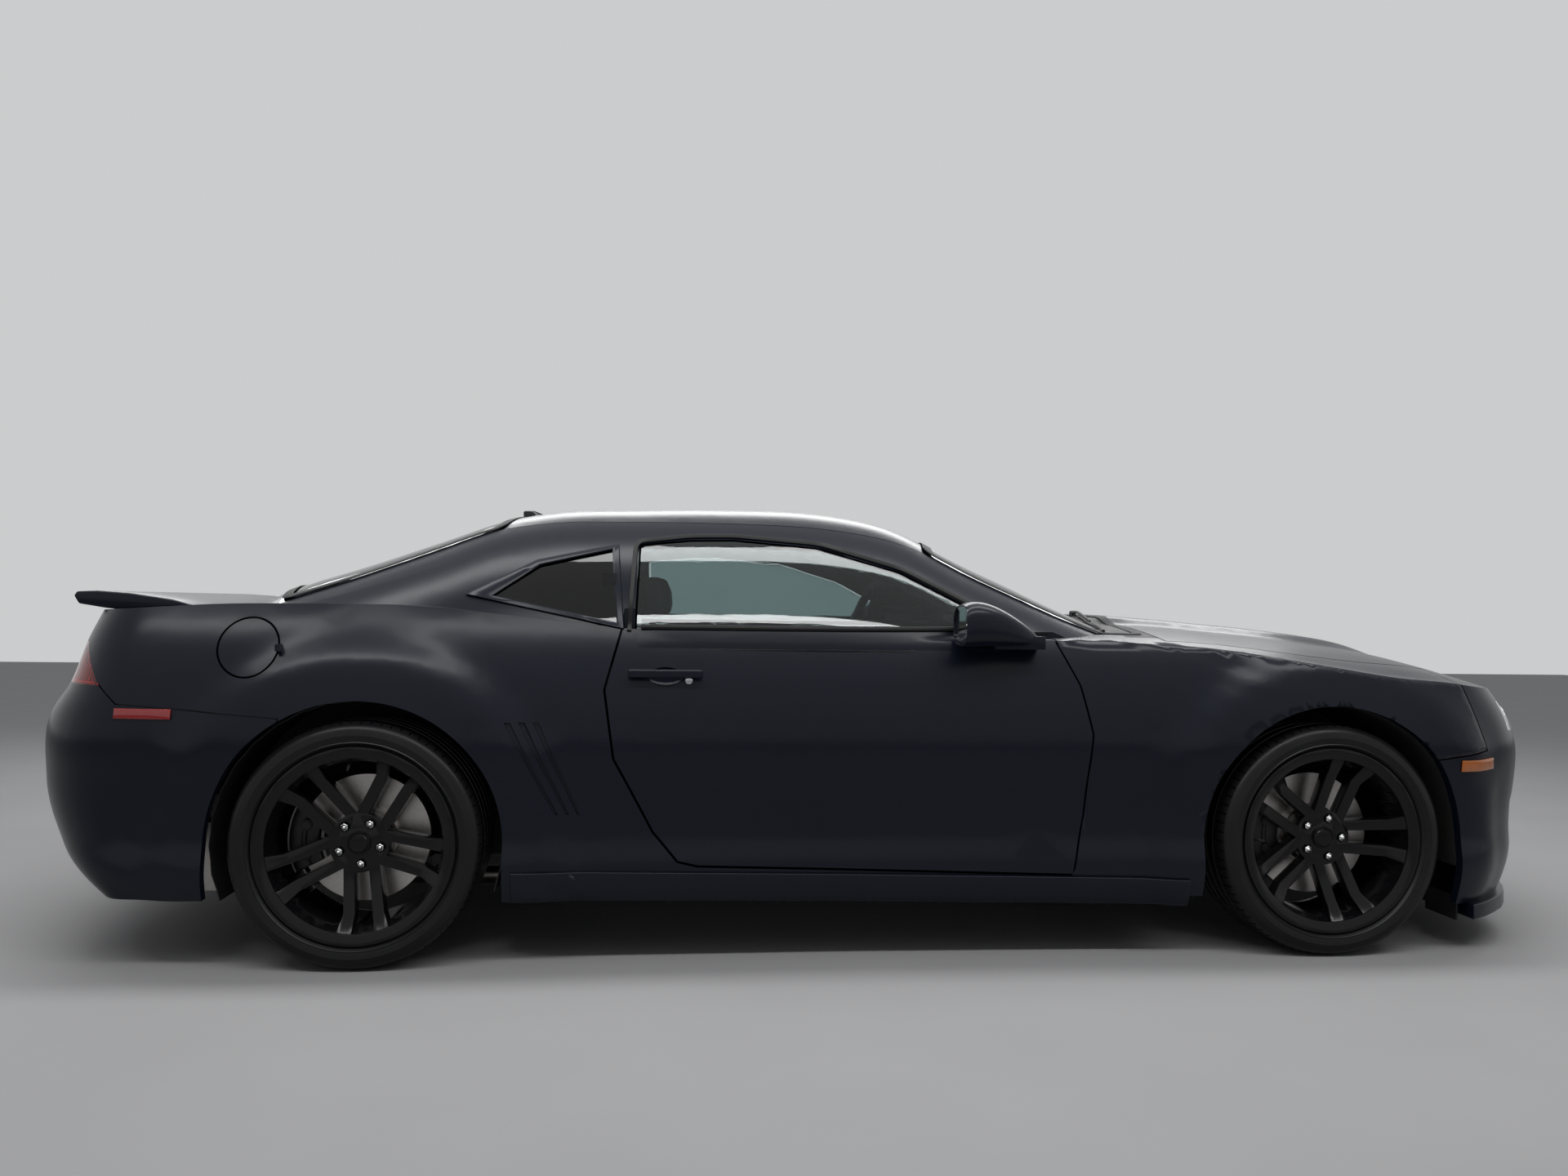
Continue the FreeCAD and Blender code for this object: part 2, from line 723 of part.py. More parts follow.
door_line = sized(door_shares, body_length, roof_height)
side_glass_line = sized(side_glass_shares, body_length, roof_height)
quarter_glass_line = sized(quarter_glass_shares, body_length, roof_height)
nose_cut = sized(nose_cut_shares, body_length, roof_height)
tail_cut = sized(tail_cut_shares, body_length, roof_height)
skirt_line = sized(skirt_shares, body_length, roof_height)
fender_line = sized(fender_rear_shares, body_length, roof_height)
hood_plan = whole(sized(hood_shares, body_length, half_width))
windshield_plan = whole(sized(windshield_shares, body_length, half_width))
rear_glass_plan = whole(sized(rear_glass_shares, body_length, half_width))
roof_plan = whole(sized(roof_plan_shares, body_length, half_width))
trunk_plan = whole(sized(trunk_top_shares, body_length, half_width))

# Glass and the openings it fills.
windshield_block = plan_prism(windshield_plan, cabin_foot, reach)
rear_glass_block = plan_prism(rear_glass_plan, cabin_foot, reach)
side_glass_block = side_prism(side_glass_line, -reach, -cabin_side_y)
quarter_block = side_prism(quarter_glass_line, -reach, -cabin_side_y)
panes = outer_top.common(Part.makeCompound([windshield_block, rear_glass_block, side_glass_block,
                                            quarter_block]))
panes = panes.cut(glass_top).cut(outer_low)
fixed_panes = []
for pane in panes.Solids:
    middle = pane.CenterOfMass
    if abs(middle.y) < cabin_side_y:
        fixed_panes.append(pane)
    elif middle.x > quarter_glass_line[1][0]:
        door_glass = pane
    else:
        fixed_panes.extend([pane, mirrored(pane)])
keep("fixed_glass", *fixed_panes)
keep("door_glass_right", door_glass)
keep("door_glass_left", mirrored(door_glass))

wall = outer.cut([room_low, room_top])
quarter_hole = side_prism(grown(quarter_glass_line, seat_gap), -reach, -cabin_side_y)
door_glass_hole = side_prism(grown(side_glass_line, door_gap), -reach, -cabin_side_y)
for opening in (plan_prism(grown(windshield_plan, seat_gap), cabin_foot, reach),
                plan_prism(grown(rear_glass_plan, seat_gap), cabin_foot, reach),
                quarter_hole, mirrored(quarter_hole), door_glass_hole, mirrored(door_glass_hole)):
    wall = wall.cut(opening)

# Lids and doors with the gaps around them.
hood_block = plan_prism(hood_plan, lid_block_foot, reach)
hood_space = plan_prism(grown(hood_plan, lid_gap), lid_block_foot, reach)
trunk_top = plan_prism(trunk_plan, lamp_head, reach)
trunk_tail = box(-reach, trunk_tail_x, -trunk_tail_half, trunk_tail_half, trunk_tail_foot, lamp_head)
trunk_block = trunk_top.fuse(trunk_tail)
trunk_space = plan_prism(grown(trunk_plan, lid_gap), lamp_head - lid_gap, reach)
trunk_space = trunk_space.fuse(box(-reach, trunk_tail_x + lid_gap, -trunk_tail_half - lid_gap,
                                   trunk_tail_half + lid_gap, trunk_tail_foot - lid_gap, lamp_head))
skin_low = outer_low.cut(inner_low)
hood = skin_low.common(hood_block)
trunk_lid = skin_low.common(trunk_block)
keep("hood", hood)
keep("trunk_lid", trunk_lid)
door_block = side_prism(door_line, -reach, -door_inner_y)
door_space = side_prism(grown(door_line, door_gap), -reach, -door_inner_y)
door = outer_low.common(door_block)


def side_y(x, z):
    """How far out the body side is at a place on it."""
    return side_law(z) + waist_law(x) + flare(x, z)


def pull_handle():
    """The pull and the cup behind it on the right door, as two solids."""
    out = side_y(handle_x, handle_z)
    pull = box(handle_x - handle_half_length, handle_x + handle_half_length,
               -out - handle_stand - handle_depth, -out - handle_stand,
               handle_z - handle_height / 2, handle_z + handle_height / 2)
    pull = rounded(pull, handle_round)
    for end in (-1, 1):
        middle = handle_x + end * (handle_half_length - handle_foot)
        pull = pull.fuse(box(middle - handle_foot / 2, middle + handle_foot / 2,
                             -out - handle_stand - handle_depth / 2, -out + handle_depth,
                             handle_z - handle_height / 4, handle_z + handle_height / 4))
    cup = Part.makeSphere(1)
    stretch = FreeCAD.Matrix()
    stretch.scale(handle_cup_length, handle_cup_depth, handle_cup_height)
    cup = cup.transformGeometry(stretch)
    cup.translate(Vector(handle_x, -out, handle_z - handle_cup_drop))
    return pull, cup


handle, handle_cup = pull_handle()
door = door.cut(handle_cup).fuse(handle)
keep("door_right", door)
keep("door_left", mirrored(door))

# The space behind the hinge that the front end of the door turns through.
hinge_foot = Vector(hinge_x, -hinge_y, hinge_sweep_foot)
hinge_way = tube(hinge_sweep, hinge_sweep_head - hinge_sweep_foot, hinge_foot, Vector(0, 0, 1))
hinge_way = hinge_way.cut(box(-reach, reach, -reach, -door_inner_y - door_gap, 0, reach))

# Fixed outer panels.
nose_block = side_prism(nose_cut, -reach, reach)
tail_block = side_prism(tail_cut, -reach, reach)
skirt_block = side_prism(skirt_line, -reach, -skirt_inner_y)
under_block = box(-reach, reach, -reach, reach, 0, skirt_line[0][1])
under_skirt = side_prism([(skirt_line[0][0], 0), (skirt_line[1][0], 0), skirt_line[2], skirt_line[3]],
                         -reach, reach)
fender_block = side_prism(fender_line, -reach, -fender_inner_y)
cowl_block = box(firewall_x, cowl_front_x, -cowl_half_width, cowl_half_width, cowl_foot, reach)
fender_blank = skin_low.common(fender_block).cut(outer_top)
fender = fender_blank.cut([hood_space, nose_block, arch_right, under_block, under_skirt, cowl_block])
fender = fender.cut(side_groove(nose_cut, fender_inner_y))
keep("fender_right", fender)
keep("fender_left", mirrored(fender))
roof_block = plan_prism(roof_plan, cabin_foot, reach)
tulip_block = box(trunk_plan[0][0] + lid_gap, rear_glass_plan[2][0] + tulip_lap, -tulip_half_width,
                  tulip_half_width, lamp_head, reach)
roof = wall.common(roof_block)
tulip = max(wall.common(tulip_block).cut(trunk_space).Solids, key=lambda s: s.Volume)
keep("roof_panel", roof, tulip)
lamp_side = side_prism(sized(tail_lamp_shares, body_length, roof_height), -reach, -trunk_tail_half - lid_gap)
side_cut = [door_space, arch_right, nose_block, tail_block, under_block, under_skirt, roof_block,
            tulip_block, trunk_space, lamp_side, cowl_block, fender_blank, hinge_way]
rear_side = wall.common(box(-reach, firewall_x + firewall_thickness, -reach, -side_split_y, 0, reach))
pillar_foot = wall.common(box(firewall_x + firewall_thickness, cowl_front_x, -reach, -side_split_y,
                              pillar_foot_z, reach))
body_side = rear_side.fuse(pillar_foot)
for block in side_cut:
    body_side = body_side.cut(block)
front_stop = box(door_stop_x, door_stop_x + 2 * door_gap, -door_stop_y - door_stop_width, -door_stop_y,
                 door_stop_z, door_stop_z + door_stop_height)
trunk_rest = box(trunk_rest_x, trunk_rest_x + trunk_rest_length, -trunk_rest_y - trunk_rest_width,
                 -trunk_rest_y, trunk_rest_foot, reach).common(lid(skin + rest_gap))
trunk_rest = trunk_rest.fuse(box(trunk_rest_x, trunk_rest_x + trunk_rest_length,
                                 -trunk_rest_y - trunk_rest_width, -trunk_rest_weld_y, trunk_rest_foot,
                                 reach).common(lid(skin - rest_lap)))
body_side = body_side.fuse([front_stop, trunk_rest])
roof_groove = plan_prism(grown(roof_plan, groove_width), cabin_foot, reach).cut(roof_block)
roof_groove = roof_groove.common(outer_top).cut(cabin(groove_depth))
body_side = body_side.cut(side_groove(tail_cut, trunk_tail_half)).cut(roof_groove)
gill_core = hull(gill_depth)
for i in range(gill_count):
    top_x = gill_top_x + i * gill_top_step
    foot_x = gill_foot_x + i * gill_foot_step
    gill = side_prism([(top_x - gill_top_width / 2, gill_top_z), (top_x + gill_top_width / 2, gill_top_z),
                       (foot_x + gill_foot_width / 2, gill_foot_z),
                       (foot_x - gill_foot_width / 2, gill_foot_z)], -reach, -door_inner_y)
    body_side = body_side.cut(gill.cut(gill_core))
body_side = max(body_side.Solids, key=lambda s: s.Volume)
keep("body_side_right", body_side)
keep("body_side_left", mirrored(body_side))
skirt = hull(-skirt_proud).common(skirt_block)
keep("side_skirts", skirt, mirrored(skirt))
cowl = outer_low.common(cowl_block).cut(lid(cowl_thickness)).cut([outer_top, hood_space])
keep("cowl", cowl)

# Front and rear fascias with their lamps and grilles.
upper_slot_line = sized(upper_slot_shares, half_width, roof_height)
lower_slot_line = sized(lower_slot_shares, half_width, roof_height)
headlamp_line = sized(headlamp_shares, half_width, roof_height)
duct_line = sized(duct_shares, half_width, roof_height)
upper_slot = front_prism(upper_slot_line, lamp_rear_x, reach)
lower_slot = front_prism(lower_slot_line, lamp_rear_x, reach)
duct = front_prism(duct_line, mesh_rear_x, reach)
lamp_block = front_prism(headlamp_line, lamp_rear_x, reach)
lamp_space = front_prism(grown(headlamp_line, seat_gap), lamp_rear_x, reach)
fascia_foot = box(-reach, reach, -reach, reach, 0, splitter_top)
nose = skin_low.common(nose_block)
nose = nose.cut([hood_space, arch_both, fascia_foot, upper_slot, lower_slot, lamp_space,
                 mirrored(lamp_space), duct, mirrored(duct)])
keep("front_bumper", max(nose.Solids, key=lambda s: s.Volume))
headlamp = skin_low.common(nose_block).common(lamp_block)
keep("headlamps", headlamp, mirrored(headlamp))
mesh_sheet = inner_low.cut(mesh_low)
mesh_zone = front_prism(grown(upper_slot_line, mesh_lap), mesh_rear_x, reach)
duct_zone = front_prism(grown(duct_line, mesh_lap), mesh_rear_x, reach)
mesh_zone = mesh_zone.fuse([front_prism(grown(lower_slot_line, mesh_lap), mesh_rear_x, reach), duct_zone,
                            mirrored(duct_zone)])
keep("grille", mesh_sheet.common(mesh_zone))
splitter_half = [(p.x, p.y) for p in side_line(splitter_top, -splitter_reach) if p.x > splitter_rear_x]
splitter_plan = whole(splitter_half)
splitter = plan_prism(splitter_plan, splitter_foot, splitter_top).cut(arch_both)
keep("splitter", splitter)
tail = skin_low.common(tail_block)
tail_lamp = skin_low.common(lamp_side).common(box(-reach, reach, -reach, reach, tail_lamp_foot, lamp_head))
tips = tube(tip_radius + lid_gap, reach, Vector(tip_front_x, -pipe_y, tip_height), Vector(-1, 0, 0))
plate_space = front_prism(sized(plate_shares, half_width, roof_height), -reach, 0).cut(hull(plate_depth))
tail = tail.cut([plate_space, tips, mirrored(tips), trunk_space, arch_both,
                 box(-reach, reach, -reach, reach, 0, tail_foot)])
keep("rear_bumper", tail)
keep("tail_lamps", tail_lamp, mirrored(tail_lamp))
spoiler_line = sized(spoiler_shares, body_length, roof_height)
spoiler_wires = []
for i in range(spoiler_sections):
    share = 2 * i / (spoiler_sections - 1) - 1
    y = share * spoiler_half_width
    back = (1 - abs(share) ** crown_power) * spoiler_sweep
    points = [Vector(x - back, y, z) for x, z in spoiler_line]
    spoiler_wires.append(Part.makePolygon(points + points[:1]))
spoiler = Part.makeLoft(spoiler_wires, True, False)
keep("spoiler", spoiler.cut(outer_low))

# The fuel door and its pocket on the right side.
fuel_centre = Vector(fuel_x, -reach, fuel_z)
fuel_door = skin_low.common(tube(fuel_radius, reach, fuel_centre, Vector(0, 1, 0)))
fuel_door = fuel_door.cut(hull(fuel_thickness))
fuel_pocket = tube(fuel_radius + pocket_gap, reach - fuel_pocket_y, fuel_centre, Vector(0, 1, 0))
fuel_stop = box(fuel_x + fuel_radius + rest_gap, fuel_x + fuel_radius + 2 * pocket_gap, -fuel_stop_y,
                -fuel_pocket_y, fuel_z - fuel_stop_half, fuel_z + fuel_stop_half)
body_side = body_side.cut(fuel_pocket).fuse(fuel_stop)
nodes["body_side_right"] = [max(body_side.Solids, key=lambda s: s.Volume)]
keep("fuel_door", fuel_door)

# Floor, firewall and the other plain structure inside.
floor = box(floor_rear_x, floor_front_x, -half_width, half_width, floor_height - floor_thickness,
            floor_height)
tunnel = box(floor_rear_x, floor_front_x, -tunnel_half_width, tunnel_half_width,
             floor_height - floor_thickness, tunnel_height)
tunnel_room = box(floor_rear_x, floor_front_x, tunnel_wall - tunnel_half_width,
                  tunnel_half_width - tunnel_wall, 0, tunnel_height - tunnel_wall)
sill = box(floor_rear_x, floor_front_x, -half_width, -door_inner_y + sill_depth,
           floor_height - floor_thickness, sill_height)
floor = floor.fuse([tunnel, sill, mirrored(sill)]).cut(tunnel_room).common(fit_low)
keep("floor_pan", floor)


def both(shape):
    return [shape, mirrored(shape)]


def liner(axle, inner_y, outer_y, foot):
    """The inner skin of one wheelhouse on the right side."""
    shell = tube(arch_radius + arch_liner, outer_y - inner_y + arch_liner,
                 Vector(axle, -outer_y, wheel_height), Vector(0, 1, 0))
    hollow = tube(arch_radius, outer_y - inner_y, Vector(axle, -outer_y, wheel_height), Vector(0, 1, 0))
    keepers = box(axle - reach, axle + reach, -reach, 0, foot, reach)
    return shell.cut(hollow).common(keepers)


firewall = box(firewall_x, firewall_x + firewall_thickness, -half_width, half_width,
               floor_height - floor_thickness, firewall_height)
rail = box(firewall_x, rail_front_x, -rail_y - rail_half_width, rail_half_width - rail_y,
           rail_height - rail_depth, rail_height)
radiator = box(radiator_x, radiator_x + radiator_thickness, -rail_y, rail_y, rail_height - rail_depth,
               radiator_height)
front_liner = liner(front_axle_x, front_liner_y, half_width, liner_foot).common(fit_skin)
front_wall = box(front_axle_x - arch_radius, front_axle_x + arch_radius, -front_liner_y,
                 arch_liner - front_liner_y, liner_foot, wheel_height + arch_radius)
front = firewall.common(fit_low).fuse(both(rail) + both(front_liner) + both(front_wall) + [radiator])
beam = box(rail_front_x, reach, -beam_half_width, beam_half_width, beam_foot, beam_head).common(mesh_low)
hood_rest = box(hood_rest_x, hood_rest_x + hood_rest_length, -hood_rest_y - hood_rest_width, -hood_rest_y,
                hood_rest_foot, reach).common(lid(skin + rest_gap))
hood_rest = hood_rest.fuse(box(firewall_x, hood_rest_x + hood_rest_length, -hood_rest_y - hood_rest_width,
                               -hood_rest_y, hood_rest_foot - hood_rest_depth, hood_rest_foot))
front = front.fuse([beam] + both(hood_rest))
shaft_way = box(seat_wall_x - 2 * trunk_panel, firewall_x + 2 * firewall_thickness,
                tunnel_wall - tunnel_half_width, tunnel_half_width - tunnel_wall, 0,
                tunnel_height - tunnel_wall)
keep("front_structure", front.cut([arch_both, shaft_way]))
rear_liner = liner(rear_axle_x, rear_liner_y, half_width, liner_foot).common(fit_low)
rear_wall = box(rear_axle_x - arch_radius, rear_axle_x + arch_radius, -rear_liner_y,
                arch_liner - rear_liner_y, liner_foot, wheel_height + arch_radius)
seat_wall = box(seat_wall_x - trunk_panel, seat_wall_x, -half_width, half_width,
                floor_height - floor_thickness, parcel_height)
trunk_floor = box(trunk_rear_x, seat_wall_x, -half_width, half_width, trunk_floor_height - trunk_panel,
                  trunk_floor_height)
tail_panel = box(trunk_rear_x, trunk_rear_x + trunk_panel, -half_width, half_width,
                 trunk_floor_height - trunk_panel, trunk_sill_height)
rear = trunk_floor.fuse([seat_wall, tail_panel]).common(fit_low).fuse(both(rear_liner) + both(rear_wall))
tail_beam = box(-reach, trunk_rear_x, -beam_half_width, beam_half_width, beam_foot, beam_head)
tail_beam = tail_beam.common(fit_skin)
shaft_hole = tube(shaft_hole_radius, 2 * half_width, Vector(rear_axle_x, -half_width, wheel_height),
                  Vector(0, 1, 0))
keep("rear_structure", rear.fuse(tail_beam).cut([arch_both, shaft_hole, shaft_way]))

# What is seen from below and under the hood.
engine = box(engine_rear_x, engine_front_x, -engine_half_width, engine_half_width, engine_foot, engine_head)
keep("engine_block", engine)


def rim(half):
    """The turned barrel of a wheel with its lips, seen in (radius, y) with the street at -y."""
    bead = rim_bead_width
    lip = rim_lip_width
    drop = rim_drop_radius
    outside = [(bead_radius, lip - half), (bead_radius, bead - half), (drop + rim_wall, 2 * bead - half),
               (drop + rim_wall, half - 2 * bead), (bead_radius, half - bead), (bead_radius, half - lip),
               (rim_lip_radius, half - lip), (rim_lip_radius, half)]
    inside = [(bead_radius - rim_wall, half), (drop, half - 2 * bead), (drop, 2 * bead - half),
              (bead_radius - rim_wall, bead - half), (bead_radius - rim_wall, lip - half),
              (rim_lip_radius - rim_wall, -half), (rim_lip_radius, -half), (rim_lip_radius, lip - half)]
    barrel = spun(outside + inside, Vector(0, 0, 0))
    barrel.rotate(Vector(0, 0, 0), Vector(0, 1, 0), 90)
    return barrel


def spoke(half, side):
    """One of a pair of spokes, bent away from its twin, with flanks that widen towards the back."""
    reaches = [share * rim_lip_radius for share in spoke_reach_shares]
    middles = [share * rim_lip_radius for share in spoke_line_shares]
    halves = [share * rim_lip_radius for share in spoke_half_shares]
    outlines = []
    for y, widen in ((-half, 0), (hub_face_inset + spoke_depth + spoke_dish, 2 * spoke_bevel)):
        inner_edge = [(m - h - widen, r) for m, h, r in zip(middles, halves, reaches)]
        outer_edge = [(m + h + widen, r) for m, h, r in zip(middles, halves, reaches)]
        line = inner_edge + outer_edge[::-1]
        outlines.append(Part.makePolygon([Vector(side * x, y, z) for x, z in line + line[:1]]))
    return Part.makeLoft(outlines, True, True)


def wheel(half):
    """A wheel about its own centre with five split spokes; the street is at -y."""
    face = hub_face_inset - half
    elbow = spoke_reach_shares[1] * rim_lip_radius
    kick = face + spoke_dish - spoke_kick
    dish = spun([(0, face + spoke_dish), (hub_pad_radius, face + spoke_dish), (elbow, kick),
                 (bead_radius, face - spoke_dish), (bead_radius, face - spoke_dish + spoke_depth),
                 (elbow, kick + spoke_depth), (hub_pad_radius, face + spoke_dish + spoke_depth),
                 (0, face + spoke_dish + spoke_depth)],
                Vector(0, 0, 0))
    dish.rotate(Vector(0, 0, 0), Vector(0, 1, 0), 90)
    spokes = []
    for i in range(spoke_count):
        for side in (-1, 1):
            arm = spoke(half, side)
            arm.rotate(Vector(0, 0, 0), Vector(0, 1, 0), 360 * i / spoke_count)
            spokes.append(arm)
    star = spokes[0].fuse(spokes[1:]).common(dish)
    pad = tube(hub_pad_radius, hub_pad_depth, Vector(0, face + spoke_dish, 0), Vector(0, 1, 0))
    cap = tube(cap_radius, cap_depth, Vector(0, face + spoke_dish - cap_depth, 0), Vector(0, 1, 0))
    body = star.fuse(pad.fuse(cap)).fuse(rim(half))
    for i in range(lug_count):
        turn = 2 * math.pi * i / lug_count + math.pi
        at = Vector(lug_circle_radius * math.sin(turn), face + spoke_dish,
                    lug_circle_radius * math.cos(turn))
        body = body.cut(tube(lug_seat_radius, lug_seat_depth, at, Vector(0, 1, 0)))
    return body.removeSplitter()


def tyre(half):
    """A tyre about its own centre with rounded shoulders and bulging sidewalls."""
    rim_half = rim_half_front if half == tyre_half_front else rim_half_rear
    bead = rim_half - rim_lip_width
    crown = tyre_radius - tyre_shoulder
    lip = rim_lip_radius + tyre_lift
    bottom = Part.makeLine(Vector(bead_radius, bead, 0), Vector(bead_radius, -bead, 0))
    toe = Part.makeLine(Vector(bead_radius, -bead, 0), Vector(lip, -bead, 0))
    flank = Part.Arc(Vector(lip, -bead, 0), Vector((2 * lip + crown) / 3, -half, 0),
                     Vector(crown, tyre_lift - half, 0)).toShape()
    shoulder = Part.Arc(Vector(crown, tyre_lift - half, 0),
                        Vector(tyre_radius - tyre_shoulder / 3, tyre_shoulder / 2 - half + tyre_lift, 0),
                        Vector(tyre_radius, tyre_shoulder + tyre_lift - half, 0)).toShape()
    tread = Part.makeLine(Vector(tyre_radius, tyre_shoulder + tyre_lift - half, 0),
                          Vector(tyre_radius, half - tyre_shoulder - tyre_lift, 0))
    flip = [e.mirror(Vector(0, 0, 0), Vector(0, 1, 0)) for e in (toe, flank, shoulder)]
    wire = Part.Wire(Part.__sortEdges__([bottom, toe, flank, shoulder, tread] + flip))
    return Part.Face(wire).revolve(Vector(0, 0, 0), Vector(0, 1, 0), 360)


def brake_disc(half, radius):
    """A brake disc with its hat and the hub that carries the wheel."""
    seat = hub_face_inset - half + spoke_dish + hub_pad_depth
    back = seat + disc_hat_depth + disc_thickness
    hat = disc_hat_radius
    bore = spindle_radius + spindle_gap
    return spun([(bore, seat), (hat, seat), (hat, back - disc_thickness), (radius, back - disc_thickness),
                 (radius, back), (bore, back)], Vector(0, 0, 0))


def knuckle(half, radius, centre):
    """The upright inside a wheel with its spindle, caliper and, in front, its kingpin."""
    seat = hub_face_inset - half + spoke_dish + hub_pad_depth
    back = seat + disc_hat_depth + disc_thickness
    spindle = tube(spindle_radius, back - seat + caliper_gap, Vector(0, seat + spindle_gap, 0),
                   Vector(0, 1, 0))
    start = back + caliper_gap
    body = box(-knuckle_half_length, knuckle_half_length, start, start + knuckle_depth, -knuckle_half_height,
               knuckle_half_height)
    body = body.fuse(tube(disc_hat_radius, knuckle_depth, Vector(0, start, 0), Vector(0, 1, 0)))
    outer_face = back - disc_thickness - 2 * caliper_gap - caliper_wall
    ring = spun([(caliper_inner, outer_face), (caliper_outer, outer_face),
                 (caliper_outer, start + knuckle_depth), (caliper_inner, start + knuckle_depth)],
                Vector(0, 0, 0))
    slot_face = back - disc_thickness - caliper_gap
    slot = spun([(0, slot_face), (radius + caliper_gap, slot_face),
                 (radius + caliper_gap, back + caliper_gap), (0, back + caliper_gap)], Vector(0, 0, 0))
    reach_x = caliper_outer * math.sin(math.radians(caliper_half_angle))
    flare_out = reach_x * reach / caliper_outer
    wedge = side_prism([(0, 0), (-reach, flare_out), (-reach, -flare_out)], -reach, reach)
    caliper = ring.common(wedge).cut(slot)
    bridge = box(-caliper_inner - caliper_half_width, 0, start, start + knuckle_depth, -knuckle_half_length,
                 knuckle_half_length)
    body = body.fuse([spindle, caliper, bridge])
    body.translate(centre)
    return body


def place_wheel(name, centre, side, rim_half, tyre_half, disc_radius):
    """Keeps the wheel, tyre and disc of one corner; side is -1 on the right."""
    parts = (("wheel_", wheel(rim_half)), ("tyre_", tyre(tyre_half)),
             ("disc_", brake_disc(rim_half, disc_radius)))
    for kind, shape in parts:
        shape.translate(centre)
        keep(kind + name, shape if side < 0 else mirrored(shape))


front_centre = Vector(front_axle_x, -track / 2, wheel_height)
rear_centre = Vector(rear_axle_x, -track / 2, wheel_height)
for side, word in ((-1, "right"), (1, "left")):
    place_wheel("front_" + word, front_centre, side, rim_half_front, tyre_half_front, disc_radius_front)
    place_wheel("rear_" + word, rear_centre, side, rim_half_rear, tyre_half_rear, disc_radius_rear)

# Front knuckles, which turn on their kingpins, and the fixed rear carriers.
front_knuckle = knuckle(rim_half_front, disc_radius_front, front_centre)
kingpin_y = front_centre.y + hub_face_inset - rim_half_front + spoke_dish + hub_pad_depth
kingpin_y = kingpin_y + disc_hat_depth + disc_thickness + caliper_gap + knuckle_depth / 2
pin_half = knuckle_half_height + arm_height
pin = tube(kingpin_radius, 2 * pin_half, Vector(front_axle_x, kingpin_y, wheel_height - pin_half),
           Vector(0, 0, 1))
front_knuckle = front_knuckle.fuse(pin)
keep("knuckle_right", front_knuckle)
keep("knuckle_left", mirrored(front_knuckle))


def arm(axle, inner_y, outer_y, foot, bored):
    """One flat control arm on the right side, with a bore for the kingpin where it has one."""
    bar = box(axle - arm_half_width, axle + arm_half_width, -outer_y, -inner_y, foot, foot + arm_height)
    if bored:
        bar = bar.fuse(tube(arm_end_radius, arm_height, Vector(axle, -outer_y, foot), Vector(0, 0, 1)))
        hole = tube(kingpin_radius + kingpin_gap, arm_height, Vector(axle, -outer_y, foot), Vector(0, 0, 1))
        bar = bar.cut(hole)
    return bar


low_arm_foot = wheel_height - pin_half - kingpin_gap
high_arm_foot = wheel_height + knuckle_half_height + kingpin_gap
cross_front = box(front_axle_x - cross_half_length, front_axle_x + cross_half_length, -rail_y, rail_y,
                  cross_foot, cross_head)
low_arm = arm(front_axle_x, arm_inner_y, -kingpin_y, low_arm_foot, True)
high_arm = arm(front_axle_x, upper_arm_inner_y, -kingpin_y, high_arm_foot, True)
cross_rear = box(rear_axle_x - cross_half_length, rear_axle_x + cross_half_length, -rail_y, rail_y,
                 cross_foot, cross_head)
differential = tube(differential_radius, 2 * differential_half_width,
                    Vector(rear_axle_x, -differential_half_width, wheel_height), Vector(0, 1, 0))
differential = differential.fuse(box(rear_axle_x - cross_half_length, rear_axle_x + cross_half_length,
                                     -differential_radius, differential_radius, cross_foot, wheel_height))
rear_post = box(rear_post_x - post_half, rear_post_x + post_half, -rear_post_y - post_half,
                post_half - rear_post_y, cross_head, trunk_floor_height - trunk_panel)
engine_mount = box(front_axle_x - post_half, front_axle_x + post_half, -engine_mount_y - post_half,
                   post_half - engine_mount_y, cross_head, engine_foot)
keep("subframes", cross_front.fuse(both(low_arm) + both(engine_mount)), *both(high_arm),
     cross_rear.fuse([differential] + both(rear_post)))
carrier = knuckle(rim_half_rear, disc_radius_rear, rear_centre)
carrier_back = rear_centre.y + hub_face_inset - rim_half_rear + spoke_dish + hub_pad_depth
carrier_back = carrier_back + disc_hat_depth + disc_thickness + caliper_gap + knuckle_depth
shaft = tube(half_shaft_radius, -differential_half_width - carrier_back,
             Vector(rear_axle_x, carrier_back, wheel_height), Vector(0, 1, 0))
rear_low = arm(rear_axle_x, rail_y, -carrier_back - knuckle_depth, low_arm_foot + arm_height, False)
carrier = carrier.fuse([shaft, rear_low])
keep("rear_carriers", carrier, mirrored(carrier))

# Driveshaft, exhaust and fuel tank.
driveshaft = tube(driveshaft_radius, engine_rear_x - rear_axle_x - differential_radius + shaft_lap,
                  Vector(rear_axle_x + differential_radius - shaft_lap, 0, wheel_height), Vector(1, 0, 0))
gearbox = box(engine_rear_x - gearbox_length, engine_rear_x, -gearbox_half_width, gearbox_half_width,
              engine_foot, gearbox_head)
keep("driveline", driveshaft.fuse(gearbox).cut([differential, engine]))
under_trunk = trunk_floor_height - trunk_panel
pipe = tube(pipe_radius, pipe_front_x - silencer_front_x, Vector(silencer_front_x, -pipe_y, pipe_height),
            Vector(1, 0, 0))
silencer = box(silencer_rear_x, silencer_front_x, -silencer_outer_y, -silencer_inner_y, silencer_foot,
               silencer_head)
hanger = box(silencer_front_x - pipe_y, silencer_front_x, -silencer_outer_y + pipe_radius, -pipe_y,
             silencer_head, under_trunk)
tip = tube(tip_radius, silencer_rear_x - tip_rear_x, Vector(silencer_rear_x, -pipe_y, tip_height),
           Vector(-1, 0, 0))
exhaust = pipe.fuse([silencer, hanger, tip])
